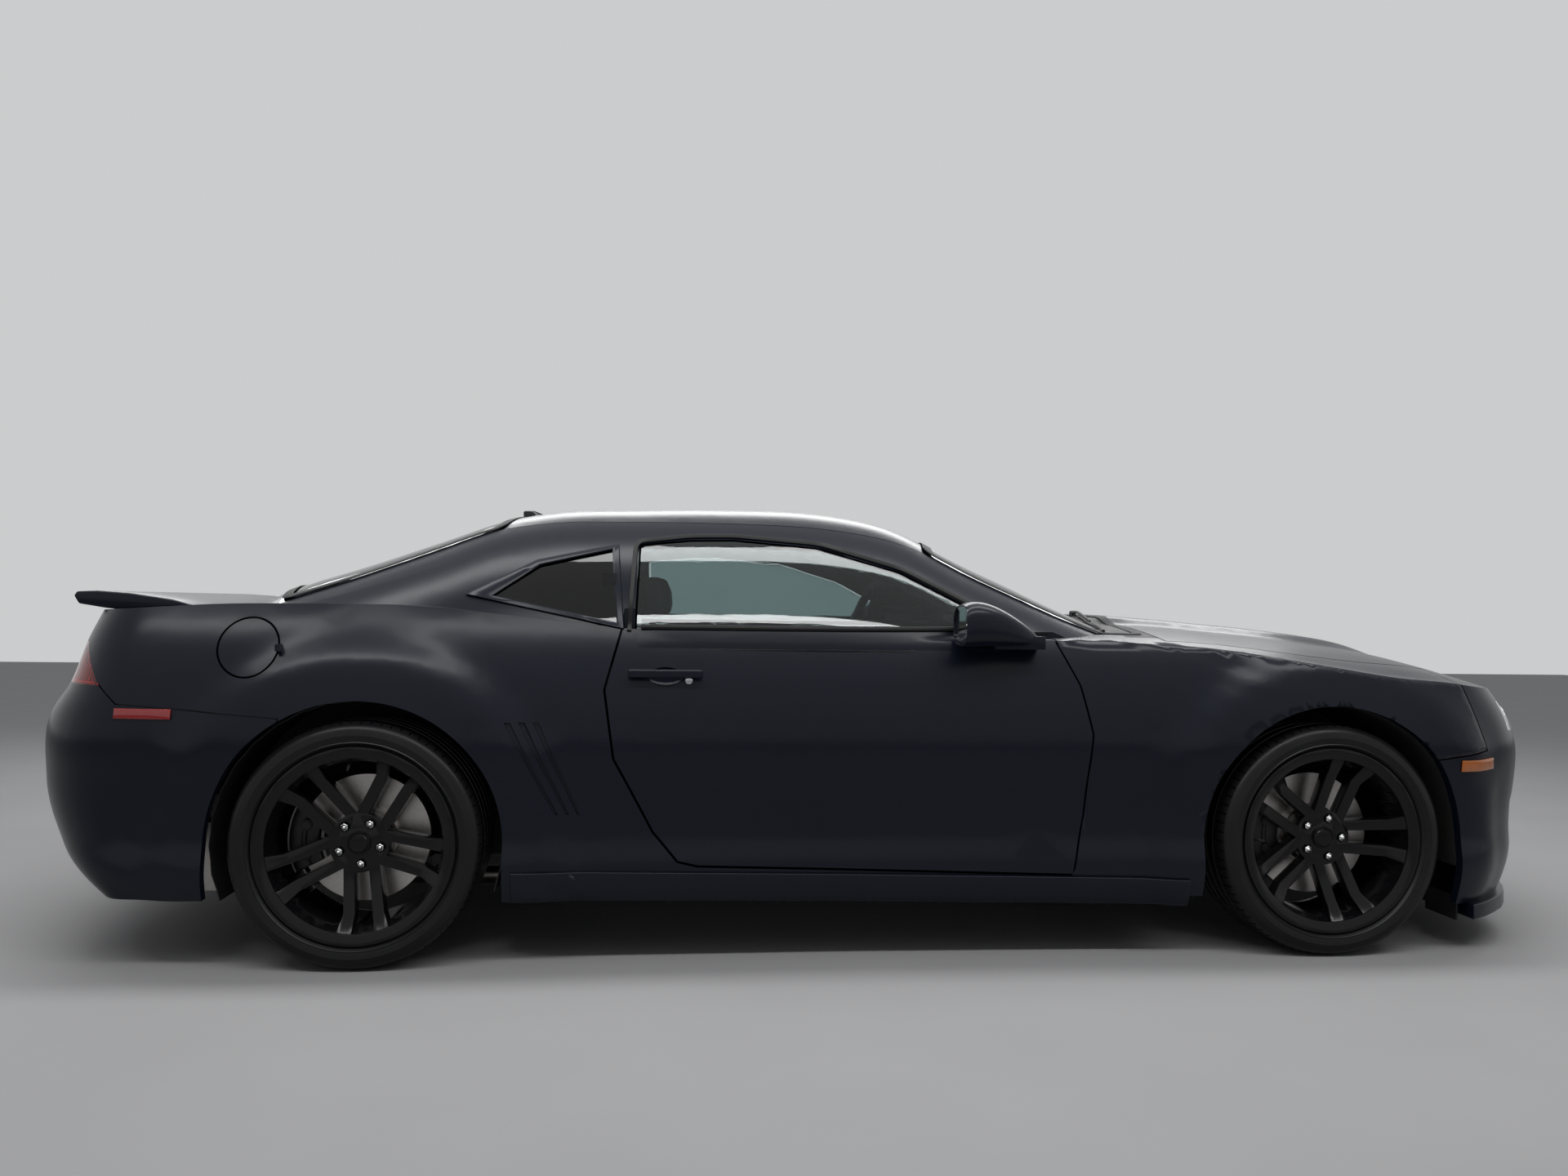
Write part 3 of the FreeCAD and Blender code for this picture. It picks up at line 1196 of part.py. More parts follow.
keep("exhaust", exhaust, mirrored(exhaust))
tank = box(tank_rear_x, tank_front_x, -tank_half_width, tank_half_width, tank_foot, tank_waist)
hump = box(tank_rear_x, tank_front_x, -tank_half_width, -tank_channel, tank_waist, under_trunk)
keep("fuel_tank", tank.fuse(both(hump)))

# Inside the cabin.
dash = side_prism(sized(dash_shares, body_length, roof_height), -dash_half_width, dash_half_width)
console = box(console_rear_x, console_front_x, -console_half_width, console_half_width, tunnel_height,
              console_height)
column_way = Vector(math.cos(math.radians(steering_tilt)), 0, -math.sin(math.radians(steering_tilt)))
steering_at = Vector(steering_x, seat_y, steering_z)
column_start = steering_hub_depth - steering_rim_radius + rest_gap
column = tube(column_radius, column_length, steering_at + column_way * column_start, column_way)
dash = dash.fuse([console, column]).common(fit_room)
keep("dashboard", dash.cut([door_space, mirrored(door_space)]))


def seat(centre_y, half, base_line, back_line):
    """One seat: a cushion and a leaning back."""
    cushion = side_prism(sized(base_line, body_length, roof_height), centre_y - half, centre_y + half)
    back = side_prism(sized(back_line, body_length, roof_height), centre_y - half, centre_y + half)
    return cushion.fuse(back)


front_seats = [seat(y, seat_half_width, cushion_shares, back_shares) for y in (-seat_y, seat_y)]
keep("front_seats", *front_seats)
rear_seat = seat(0, rear_seat_half_width, rear_cushion_shares, rear_back_shares)
tunnel_space = box(floor_rear_x, floor_front_x, -tunnel_half_width - seat_gap,
                   tunnel_half_width + seat_gap, 0, tunnel_height + seat_gap)
keep("rear_seat", rear_seat.cut(tunnel_space))
wheel_ring = Part.makeTorus(steering_radius, steering_rim_radius)
steering = wheel_ring.fuse(Part.makeCylinder(steering_hub_radius, steering_hub_depth,
                                             Vector(0, 0, -steering_rim_radius)))
for turn in steering_spokes:
    bar = box(0, steering_radius, -steering_spoke_half, steering_spoke_half, -steering_spoke_half / 2,
              steering_spoke_half / 2)
    bar.rotate(Vector(0, 0, 0), Vector(0, 0, 1), turn)
    steering = steering.fuse(bar)
steering.rotate(Vector(0, 0, 0), Vector(0, 1, 0), 90 + steering_tilt)
steering.translate(steering_at)
keep("steering_wheel", steering)

# Mirrors on the doors.
mirror_height = mirror_top - mirror_foot
mirror_wires = []
for reach_share, height_share, width_share in mirror_shares:
    x = mirror_rear_x + reach_share * mirror_length
    y = mirror_y - reach_share * mirror_lean
    z = mirror_foot + height_share * mirror_height / 2
    outline = ellipse(mirror_half_width * width_share, mirror_height * height_share / 2, mirror_round,
                      mirror_points)
    mirror_wires.append(closed_curve([Vector(x, -y + a, z + b) for a, b in outline]))
mirror = Part.makeLoft(mirror_wires, True, False)
pocket = ellipse(mirror_half_width - mirror_rim, mirror_height / 2 - mirror_rim, mirror_round, mirror_points)
pocket_z = (mirror_top + mirror_foot) / 2
pocket_x = mirror_rear_x - mirror_pocket
pocket = closed_curve([Vector(pocket_x, -mirror_y + a, pocket_z + b) for a, b in pocket])
pocket = Part.Face(pocket).extrude(Vector(2 * mirror_pocket, 0, 0))
foot_front = mirror_rear_x + mirror_length
foot = box(foot_front - mirror_foot_length, foot_front, -mirror_y, -door_inner_y, mirror_foot_z,
           mirror_foot_head)
mirror = mirror.cut(pocket).fuse(foot).cut([outer_low, outer_top])
keep("mirror_right", max(mirror.Solids, key=lambda s: s.Volume))
keep("mirror_left", mirrored(nodes["mirror_right"][0]))

os.makedirs("parts", exist_ok=True)
for name, solids in nodes.items():
    shape = solids[0] if len(solids) == 1 else Part.makeCompound(solids)
    shape.exportStep("parts/" + name + ".step")
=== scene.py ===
# %% [markdown]
# # A satin-black coupe
#
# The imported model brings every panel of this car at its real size. This lesson dresses it: each finish
# becomes a material made of nodes, and each piece too fine for the solids, such as a wheel nut, a lamp
# bowl or a stitched seat, is modelled here and tied to the body that carries it.

# %% Loading the frame
import math
from contextlib import contextmanager

import bmesh
import bpy
from mathutils import Matrix, Vector
from mathutils.bvhtree import BVHTree


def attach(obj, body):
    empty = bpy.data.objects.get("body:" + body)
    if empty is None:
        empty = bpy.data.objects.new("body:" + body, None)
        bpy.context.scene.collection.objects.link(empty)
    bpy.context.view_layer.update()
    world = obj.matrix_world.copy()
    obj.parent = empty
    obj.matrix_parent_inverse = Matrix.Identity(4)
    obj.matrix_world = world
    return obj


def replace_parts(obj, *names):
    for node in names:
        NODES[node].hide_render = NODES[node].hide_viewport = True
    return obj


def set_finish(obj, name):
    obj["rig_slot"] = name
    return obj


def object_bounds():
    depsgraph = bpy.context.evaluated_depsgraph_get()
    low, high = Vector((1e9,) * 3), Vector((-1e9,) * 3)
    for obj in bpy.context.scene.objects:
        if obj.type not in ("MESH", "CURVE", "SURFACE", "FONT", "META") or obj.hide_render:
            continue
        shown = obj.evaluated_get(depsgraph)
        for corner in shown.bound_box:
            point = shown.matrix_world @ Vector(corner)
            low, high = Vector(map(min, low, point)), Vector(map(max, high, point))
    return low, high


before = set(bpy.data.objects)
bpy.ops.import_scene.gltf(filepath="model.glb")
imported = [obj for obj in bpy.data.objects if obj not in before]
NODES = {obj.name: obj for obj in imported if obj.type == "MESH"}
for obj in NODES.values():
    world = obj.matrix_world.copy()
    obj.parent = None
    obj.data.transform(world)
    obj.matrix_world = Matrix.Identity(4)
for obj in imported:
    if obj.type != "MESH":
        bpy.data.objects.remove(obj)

BOX_LOW, BOX_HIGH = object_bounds()
print(len(NODES), "solids, box", [round(v, 3) for v in BOX_LOW], [round(v, 3) for v in BOX_HIGH])

# %% [markdown]
# ## The viewing angle
#
# A wide lens stands about four metres from the car's right side, a metre above the floor. A camera looks
# down its own -Z axis, so its matrix has the picture's right, the picture's up and the way back as columns.

# %% The camera
EYE = Vector((-0.492, -4.302, 1.031))
YAW, PITCH, ROLL = (math.radians(a) for a in (5.23, 0.86, 0.76))
FOCAL_SHARE = 0.75
SENSOR = 36.0

ahead = Vector((math.sin(YAW) * math.cos(PITCH), math.cos(YAW) * math.cos(PITCH), math.sin(PITCH)))
level = Vector((math.cos(YAW), -math.sin(YAW), 0.0))
above = level.cross(ahead)
right = math.cos(ROLL) * level + math.sin(ROLL) * above
up = math.cos(ROLL) * above - math.sin(ROLL) * level
lens = bpy.data.cameras.new("camera")
lens.sensor_fit = "HORIZONTAL"
lens.sensor_width = SENSOR
lens.lens = FOCAL_SHARE * SENSOR
camera = bpy.data.objects.new("camera", lens)
bpy.context.scene.collection.objects.link(camera)
camera.matrix_world = Matrix.Translation(EYE) @ Matrix((right, up, -ahead)).transposed().to_4x4()
bpy.context.scene.camera = camera

# %% [markdown]
# ## Shader maths as plain sums
#
# A material is a graph of nodes. Wiring each sum by hand hides what it does, so one small class wraps a
# socket: adding or multiplying two wires places the Math node, and `node` places any other kind.

# %% The wire class
class Wire:
    """One socket of a material. Its operators add Math nodes, and node() adds any other."""

    def __init__(self, tree, socket=None):
        self.tree = tree
        self.socket = socket

    def node(self, kind, settings=None, values=None, out=0):
        made = self.tree.nodes.new("ShaderNode" + kind)
        for name, value in (settings or {}).items():
            setattr(made, name, value)
        for name, value in (values or {}).items():
            if isinstance(value, Wire):
                self.tree.links.new(value.socket, made.inputs[name])
            else:
                made.inputs[name].default_value = value
        return Wire(self.tree, made.outputs[out])

    def math(self, operation, first, second=0.0):
        return self.node("Math", {"operation": operation}, {0: first, 1: second})

    def __add__(self, other):
        return self.math("ADD", self, other)

    def __radd__(self, other):
        return self.math("ADD", other, self)

    def __mul__(self, other):
        return self.math("MULTIPLY", self, other)

    def __gt__(self, other):
        return self.math("GREATER_THAN", self, other)



# %% Helpers that every finish uses
def finish(name, **sockets):
    """A new material whose unchanging values sit on the shader's own sockets."""
    material = bpy.data.materials.new(name)
    material.use_nodes = True
    shader = material.node_tree.nodes["Principled BSDF"]
    for socket, value in sockets.items():
        shader.inputs[socket.replace("_", " ")].default_value = value
    return material, shader, Wire(material.node_tree)


def place(wire):
    """The three Object coordinates as one vector wire."""
    return wire.node("TexCoord", out="Object")


def noise(wire, per_metre, detail=3.0, roughness=0.5):
    """Cloudy values about a half, with the given number of clouds in a metre."""
    return wire.node("TexNoise", None, {"Vector": place(wire), "Scale": per_metre, "Detail": detail,
                                        "Roughness": roughness})


def shade(wire, mask, dark, light):
    """A colour that runs from dark to light as the mask runs from 0 to 1."""
    return wire.node("Mix", {"data_type": "RGBA"}, {0: mask, 6: (*dark, 1), 7: (*light, 1)}, out=2)


def feed(shader, wire, socket):
    shader.id_data.links.new(wire.socket, shader.inputs[socket])


def relief(wire, shader, height, depth):
    """Turns heights into a bump of the given depth in metres."""
    feed(shader, wire.node("Bump", None, {"Height": height, "Distance": depth, "Strength": 1.0}), "Normal")


# %% [markdown]
# ## Modelling by hand, in code
#
# Every new piece starts as a primitive, is shaped in edit mode, and is finished by modifiers that are
# applied. An operator works on all that is selected, so each helper first selects just what it means.
# A finished piece keeps its place in its mesh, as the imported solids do.

# %% Helpers for modelling
WELD = 2e-6


def alone(piece):
    """Selects one piece and nothing else."""
    bpy.ops.object.select_all(action="DESELECT")
    piece.select_set(True)
    bpy.context.view_layer.objects.active = piece
    return piece


def start(kind, name, at=(0, 0, 0), scale=(1, 1, 1), turn=(0, 0, 0), **options):
    """Adds a primitive at its place and size, with the place written into its mesh."""
    bpy.ops.object.select_all(action="DESELECT")
    getattr(bpy.ops.mesh, "primitive_" + kind + "_add")(location=at, rotation=turn, **options)
    piece = bpy.context.object
    piece.name = name
    piece.scale = scale
    bpy.ops.object.transform_apply(location=True, rotation=True, scale=True)
    return piece


def block(name, low, high):
    """A box between two corners."""
    low, high = Vector(low), Vector(high)
    return start("cube", name, (low + high) / 2, high - low, size=1)


@contextmanager
def editing(piece):
    """Edit mode on one piece, with nothing selected."""
    alone(piece)
    bpy.ops.object.mode_set(mode="EDIT")
    bpy.ops.mesh.select_all(action="DESELECT")
    yield
    bpy.ops.object.mode_set(mode="OBJECT")


def take_all():
    """In edit mode, selects the whole piece."""
    bpy.ops.mesh.select_all(action="SELECT")


def select(test, kind="FACE"):
    """In edit mode, selects the faces, edges or points whose middle and normal pass a test."""
    bpy.ops.mesh.select_mode(type=kind)
    bpy.ops.mesh.select_all(action="DESELECT")
    mesh = bmesh.from_edit_mesh(bpy.context.edit_object.data)
    mesh.normal_update()
    group = {"FACE": mesh.faces, "EDGE": mesh.edges, "VERT": mesh.verts}[kind]
    for item in group:
        corners = [item] if kind == "VERT" else item.verts
        middle = sum((v.co for v in corners), Vector()) / len(corners)
        if test(middle, getattr(item, "normal", None)):
            item.select_set(True)
    mesh.select_flush_mode()
    bmesh.update_edit_mesh(bpy.context.edit_object.data)


def modify(piece, kind, **settings):
    """Adds one modifier and applies it."""
    alone(piece)
    modifier = piece.modifiers.new(kind.lower(), kind)
    for name, value in settings.items():
        setattr(modifier, name, value)
    bpy.ops.object.modifier_apply(modifier=modifier.name)
    return piece


def bevelled(piece, width, segments=2, angle=30.0):
    return modify(piece, "BEVEL", width=width, segments=segments, limit_method="ANGLE",
                  angle_limit=math.radians(angle), use_clamp_overlap=True)


def tidied(piece, gap=1e-5):
    """Merges doubles and turns every face outwards."""
    with editing(piece):
        take_all()
        bpy.ops.mesh.remove_doubles(threshold=gap)
        bpy.ops.mesh.normals_make_consistent(inside=False)
    return piece


def subdivided(piece, cuts):
    with editing(piece):
        take_all()
        bpy.ops.mesh.subdivide(number_cuts=cuts)
    return piece


def faced(piece, way):
    """Turns an open sheet so that its faces look along a way."""
    if sum(face.normal.dot(Vector(way)) for face in piece.data.polygons) < 0:
        piece.data.flip_normals()
    return piece


def sheet(name, rows, columns, placed, way=None):
    """A grid whose points are placed by a function of their shares along its two sides."""
    piece = start("grid", name, x_subdivisions=rows, y_subdivisions=columns, size=1)
    for point in piece.data.vertices:
        point.co = placed(point.co.x + 0.5, point.co.y + 0.5)
    return faced(piece, way) if way else piece


def solid_copy(node, name):
    """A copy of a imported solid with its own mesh."""
    piece = bpy.data.objects.new(name, NODES[node].data.copy())
    bpy.context.scene.collection.objects.link(piece)
    return piece


def weld():
    """In edit mode, merges the doubled points of the whole piece."""
    take_all()
    bpy.ops.mesh.remove_doubles(threshold=WELD)


def joined(name, parts):
    """Several meshes as one piece."""
    bpy.ops.object.select_all(action="DESELECT")
    for part in parts:
        part.select_set(True)
    bpy.context.view_layer.objects.active = parts[0]
    if len(parts) > 1:
        bpy.ops.object.join()
    parts[0].name = name
    parts[0].data.name = name
    return parts[0]


MADE = []


def done(piece, body, slot, material=None, smooth=35.0):
    """Gives a finished piece its shading, its finish and the body that carries it."""
    alone(piece)
    bpy.ops.object.shade_smooth_by_angle(angle=math.radians(smooth))
    piece.data.materials.clear()
    piece.data.materials.append(material or FINISHES[slot])
    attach(piece, body)
    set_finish(piece, slot)
    MADE.append(piece)
    return piece


def copied(piece, name, change, body=None, flip=False):
    """A copy with its own mesh, moved by a matrix, on the same body or another."""
    other = piece.copy()
    other.data = piece.data.copy()
    other.name = other.data.name = name
    bpy.context.scene.collection.objects.link(other)
    other.data.transform(change)
    if flip:
        other.data.flip_normals()
    if body:
        for key in [key for key in other.keys() if key.startswith("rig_") and key != "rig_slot"]:
            del other[key]
        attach(other, body)
        MADE.append(other)
    return other


def twin(piece, body="body"):
    """The same piece mirrored to the left side."""
    name = piece.name.replace("right", "left")
    return copied(piece, name, Matrix.Scale(-1, 4, (0, 1, 0)), body, True)


def both(piece, body, slot, material=None, smooth=35.0):
    """Finishes a right-hand piece and gives it its twin on the left."""
    done(piece, body, slot, material, smooth)
    twin(piece, body.replace("right", "left"))
    return piece


# %% [markdown]
# ### Lines, rings and turned shapes
#
# Three forms come up again and again: a strip laid on the body, a bar bent along a line, and a shape
# turned on a lathe. The strip starts as a flat grid whose rows are set along the line, and Solidify gives
# it its thickness. The turned shape starts as a circle whose points are set to the section, then spun.

# %% Lines with rounded corners
def rounded_line(points, radius, step, closed=True):
    """The points joined by straight runs and rounded corners, with no gap wider than the step."""
    line = []
    count = len(points)
    for i, corner in enumerate(points):
        corner = Vector(corner)
        if not closed and i in (0, count - 1):
            line.append(corner)
            continue
        before, after = Vector(points[i - 1]) - corner, Vector(points[(i + 1) % count]) - corner
        cut = min(radius, before.length * 0.45, after.length * 0.45)
        first, last = corner + before.normalized() * cut, corner + after.normalized() * cut
        for k in range(6):
            t = k / 5
            line.append(first * (1 - t) ** 2 + corner * 2 * t * (1 - t) + last * t * t)
    dense = []
    pairs = zip(line, line[1:] + line[:1] if closed else line[1:])
    for a, b in pairs:
        cuts = max(1, math.ceil((b - a).length / step))
        dense.extend(a.lerp(b, k / cuts) for k in range(cuts))
    if not closed:
        dense.append(line[-1])
    return dense


# %% The body's skin, felt by rays
def skin_of(names):
    """A tree of the triangles of some solids, for rays to land on."""
    corners, faces = [], []
    for name in names:
        mesh = NODES[name].data
        base = len(corners)
        corners += [v.co.copy() for v in mesh.vertices]
        faces += [[base + k for k in face.vertices] for face in mesh.polygons]
    return BVHTree.FromPolygons(corners, faces)


OUTER = ["door_right", "body_side_right", "body_side_left", "fender_right", "fender_left", "front_bumper",
         "rear_bumper", "roof_panel", "hood", "trunk_lid", "headlamps", "tail_lamps", "fixed_glass",
         "door_glass_right", "fuel_door", "cowl", "side_skirts", "spoiler"]
SKIN = skin_of(OUTER)
PROBE = 0.011


def land(spot, way, tree=SKIN, probe=PROBE):
    """The point of the skin that rays along a way meet first, near a spot, which bridges narrow gaps."""
    way = Vector(way)
    across = way.orthogonal().normalized()
    other = way.cross(across).normalized()
    nearest = None
    for shift in ((0, 0), (probe, 0), (-probe, 0), (0, probe), (0, -probe)):
        hit = tree.ray_cast(Vector(spot) + across * shift[0] + other * shift[1], way)
        if hit[0] is not None and (nearest is None or hit[3] < nearest):
            nearest = hit[3]
    return None if nearest is None else Vector(spot) + way * nearest


def on_side(x, z):
    """The place on the right side of the body at x and z."""
    return land((x, BOX_LOW[1] - 0.2, z), (0, 1, 0))


def on_top(x, y):
    return land((x, y, BOX_HIGH[2] + 0.2), (0, 0, -1))


# %% A strip on the skin
def strip(name, line, width, height, placed, out, closed=True, sink=0.001, columns=2):
    """A strip of one width along a flat line, laid on the skin by a function and given its height.

    It lies inside a closed line, and on both sides of an open one.
    """
    rows = len(line) + (1 if closed else 0)
    piece = start("grid", name, x_subdivisions=rows - 1, y_subdivisions=columns - 1, size=1)
    points = piece.data.vertices
    order = sorted(range(len(points)), key=lambda k: (round(points[k].co.x, 5), points[k].co.y))
    turn = sum(a.x * b.y - b.x * a.y for a, b in zip(line, line[1:] + line[:1]))
    side = -1 if closed and turn < 0 else 1
    out = Vector(out)
    for row in range(rows):
        back = line[row - 1] if closed or row else line[0]
        on = line[(row + 1) % len(line)] if closed or row < len(line) - 1 else line[-1]
        way = (on - back).normalized()
        across = Vector((-way.y, way.x)) * side
        for column in range(columns):
            share = column / (columns - 1) - (0.0 if closed else 0.5)
            spot = line[row % len(line)] + across * width * share
            points[order[row * columns + column]].co = placed(spot.x, spot.y) - out * sink
    faced(tidied(piece), out)
    modify(piece, "SOLIDIFY", thickness=height + sink, offset=1.0, use_even_offset=True)
    return bevelled(piece, height * 0.35, 2, 50)


# %% A bar along a curve, and a shape turned on a lathe
def bar(name, points, radius, sides=8, taper=None):
    """A round bar along a smooth curve. Taper gives each point its share of the radius."""
    curve = bpy.data.curves.new(name, "CURVE")
    curve.dimensions = "3D"
    curve.bevel_depth = radius
    curve.bevel_resolution = max(0, sides // 4 - 1)
    curve.use_fill_caps = True
    line = curve.splines.new("NURBS")
    line.points.add(len(points) - 1)
    for k, point in enumerate(points):
        line.points[k].co = (*point, 1)
        line.points[k].radius = taper[k] if taper else 1.0
    line.order_u = min(3, len(points))
    line.use_endpoint_u = True
    line.resolution_u = 6
    piece = bpy.data.objects.new(name, curve)
    bpy.context.scene.collection.objects.link(piece)
    alone(piece)
    bpy.ops.object.convert(target="MESH")
    piece = bpy.context.object
    piece.data.name = name
    return piece


def turned(name, section, centre, axis, steps=48, angle=2 * math.pi):
    """A section of (radius, along) pairs, closed on itself, spun round an axis through a centre."""
    piece = start("circle", name, vertices=len(section), radius=1)
    turn = Vector((0, 0, 1)).rotation_difference(Vector(axis)).to_matrix()
    for point, (radius, along) in zip(piece.data.vertices, section):
        point.co = Vector(centre) + turn @ Vector((radius, 0, along))
    with editing(piece):
        take_all()
        bpy.ops.mesh.spin(steps=steps, angle=angle, center=centre, axis=axis)
        take_all()
        bpy.ops.mesh.remove_doubles(threshold=1e-6)
        bpy.ops.mesh.dissolve_degenerate(threshold=1e-6)
        take_all()
        bpy.ops.mesh.normals_make_consistent(inside=False)
    return piece


def softened(node, name, body, slot, width, material=None, segments=2, angle=32.0, smooth=40.0):
    """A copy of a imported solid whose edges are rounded, shown in place of it."""
    piece = solid_copy(node, name)
    with editing(piece):
        weld()
        bpy.ops.mesh.dissolve_limited(angle_limit=math.radians(1.0))
    bevelled(piece, width, segments, angle)
    done(piece, body, slot, material, smooth)
    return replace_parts(piece, node)


# %% [markdown]
# ## Finishes of the outside
#
# The car wears a satin wrap: nearly black, with a breath of blue, and a broad soft highlight in place of
# a mirror. Real wrap is never one value. Its gloss drifts a little from panel to panel, and close up it
# has a fine dimple like orange peel, so both are noise at the scale of the real thing.

# %% Satin paint
def satin_paint():
    material, shader, wire = finish("satin_paint", Specular_IOR_Level=0.24, Metallic=0.0)
    drift = noise(wire, 1.6, 2.0)
    peel = noise(wire, 420.0, 2.0)
    feed(shader, shade(wire, drift, (0.0046, 0.0064, 0.0135), (0.0062, 0.0082, 0.0170)), "Base Color")
    feed(shader, 0.22 + drift * 0.05 + peel * 0.03, "Roughness")
    relief(wire, shader, peel, 0.00003)
    return material


def gloss_black():
    material, shader, wire = finish("gloss_black", Specular_IOR_Level=0.25, Coat_Weight=0.15,
                                    Coat_Roughness=0.05)
    drift = noise(wire, 5.0)
    feed(shader, shade(wire, drift, (0.006, 0.006, 0.007), (0.011, 0.011, 0.013)), "Base Color")
    feed(shader, 0.12 + drift * 0.12, "Roughness")
    relief(wire, shader, noise(wire, 300.0), 0.00001)
    return material


# %% [markdown]
# Moulded plastic has a pebbled grain half a millimetre wide, and it greys where dust settles in it.

# %% Moulded plastic
def grained_plastic(name, dark, light, gloss, per_metre=1700.0, depth=0.00012):
    material, shader, wire = finish(name, Specular_IOR_Level=0.3)
    grain = wire.node("TexVoronoi", {"feature": "SMOOTH_F1"},
                      {"Vector": place(wire), "Scale": per_metre, "Smoothness": 0.6})
    dust = noise(wire, 9.0, 4.0)
    feed(shader, shade(wire, dust * 0.7 + grain * 0.3, dark, light), "Base Color")
    feed(shader, gloss + dust * 0.18, "Roughness")
    relief(wire, shader, grain, depth)
    return material


# %% Glass
def tinted_glass(name, tint, gloss=0.0):
    """Float glass: it lets the cabin show, in the tint of its edge."""
    material, shader, wire = finish(name, Roughness=gloss, IOR=1.45, Transmission_Weight=1.0,
                                    Specular_IOR_Level=0.2)
    film = noise(wire, 3.0, 2.0)
    feed(shader, shade(wire, film, tint, [c * 0.94 for c in tint]), "Base Color")
    feed(shader, film * 0.015, "Roughness")
    return material


# %% Metals
def metal(name, dark, light, gloss, per_metre=60.0, depth=0.00003, metallic=1.0, specular=0.5):
    material, shader, wire = finish(name, Metallic=metallic, Specular_IOR_Level=specular)
    cloud = noise(wire, per_metre, 5.0, 0.6)
    feed(shader, shade(wire, cloud, dark, light), "Base Color")
    feed(shader, gloss + cloud * 0.2, "Roughness")
    relief(wire, shader, cloud, depth)
    return material


# %% Rubber
def tyre_rubber():
    material, shader, wire = finish("tyre_rubber", Specular_IOR_Level=0.2)
    bloom = noise(wire, 14.0, 5.0, 0.6)
    feed(shader, shade(wire, bloom, (0.007, 0.007, 0.008), (0.015, 0.015, 0.016)), "Base Color")
    feed(shader, 0.20 + bloom * 0.25, "Roughness")
    relief(wire, shader, noise(wire, 900.0), 0.00004)
    return material


RUBBER = grained_plastic("rubber", (0.008, 0.008, 0.009), (0.016, 0.016, 0.017), 0.5, 900.0, 0.0001)
FINISHES = {
    "body_paint": satin_paint(),
    "gloss_black": gloss_black(),
    "glass": tinted_glass("side_glass", (0.40, 0.50, 0.50)),
    "dark_glass": tinted_glass("privacy_glass", (0.020, 0.022, 0.026)),
    "black_plastic": grained_plastic("black_plastic", (0.012, 0.012, 0.013), (0.028, 0.028, 0.03), 0.42),
    "lamp_clear": tinted_glass("lamp_clear", (0.93, 0.94, 0.95)),
    "lamp_red": tinted_glass("lamp_red", (0.62, 0.008, 0.012)),
    "underbody": grained_plastic("underbody", (0.012, 0.012, 0.012), (0.035, 0.034, 0.032), 0.6, 300.0, 0.0004),
    "cast_metal": metal("cast_metal", (0.10, 0.10, 0.10), (0.22, 0.22, 0.22), 0.38, 240.0, 0.0002),
    "exhaust_metal": metal("exhaust_metal", (0.30, 0.28, 0.26), (0.46, 0.44, 0.42), 0.2),
    "engine_metal": metal("engine_metal", (0.16, 0.16, 0.17), (0.34, 0.34, 0.35), 0.36, 180.0, 0.0002),
    "cabin_plastic": grained_plastic("cabin_plastic", (0.010, 0.010, 0.011), (0.022, 0.022, 0.024), 0.5, 1100.0),
    "seat_leather": grained_plastic("seat_leather", (0.012, 0.012, 0.013), (0.026, 0.026, 0.028), 0.44, 620.0,
                                     0.0003),
    "wheel_black": metal("wheel_black", (0.004, 0.004, 0.005), (0.007, 0.007, 0.008), 0.10, 30.0, 0.00001, 0.0,
                         0.25),
    "tyre": tyre_rubber(),
    "disc_steel": metal("disc_steel", (0.34, 0.32, 0.31), (0.52, 0.50, 0.48), 0.22, 90.0),
}

# %% Every solid takes its finish
for node in NODES.values():
    for seat in node.material_slots:
        seat.material = FINISHES[seat.material.name.split(".")[0]]
print("finished", len(NODES), "solids")

# %% [markdown]
# ## Tyres
#
# A low tyre is a ring with a curved wall, a bead that hides under the rim lip, and a tread cut by round
# grooves and by slots on both shoulders. Its section is drawn once, street side first, and spun. The rows
# of the ring are then set in groups of three, so that one of each three is narrow: that one becomes a slot.

# %% The sizes of the corners
HUB_HEIGHT = 0.347
HUB_OUT = 0.805
AXLES = {"front": 1.480, "rear": -1.372}
TYRE_HALF = {"front": 0.134, "rear": 0.144}
RIM_HALF = {"front": 0.126, "rear": 0.136}
OUT = {"right": -1, "left": 1}
CORNERS = [(end, side) for end in ("front", "rear") for side in ("right", "left")]
TREAD_RADIUS = 0.347
SLOT_FOOT, SLOT_DEPTH = 0.3375, 0.006
PITCHES = 78
ROW_PLACES = (0.0, 0.16, 0.58)


def tyre_section(half, rim_half):
    """Pairs of radius and place across the tyre, from the street bead over the tread to the other bead."""
    bead = rim_half - 0.010
    wall = [(0.256, -bead), (0.278, -bead - 0.001), (0.2835, -half + 0.006), (0.2885, -half + 0.0012),
            (0.291, -half + 0.003), (0.301, -half + 0.0002), (0.306, -half), (0.3085, -half - 0.0008),
            (0.311, -half), (0.323, -half + 0.003), (0.332, -half + 0.0075), (0.3395, -half + 0.0155),
            (0.3440, -half + 0.026), (0.3460, -half + 0.041)]
    tread = []
    for middle in (-0.066, -0.023):
        tread += [(TREAD_RADIUS, middle - 0.0055), (0.3395, middle - 0.0035), (0.3395, middle + 0.0035),
                  (TREAD_RADIUS, middle + 0.0055)]
    street = wall + tread
    return street + [(radius, -along) for radius, along in reversed(street)]


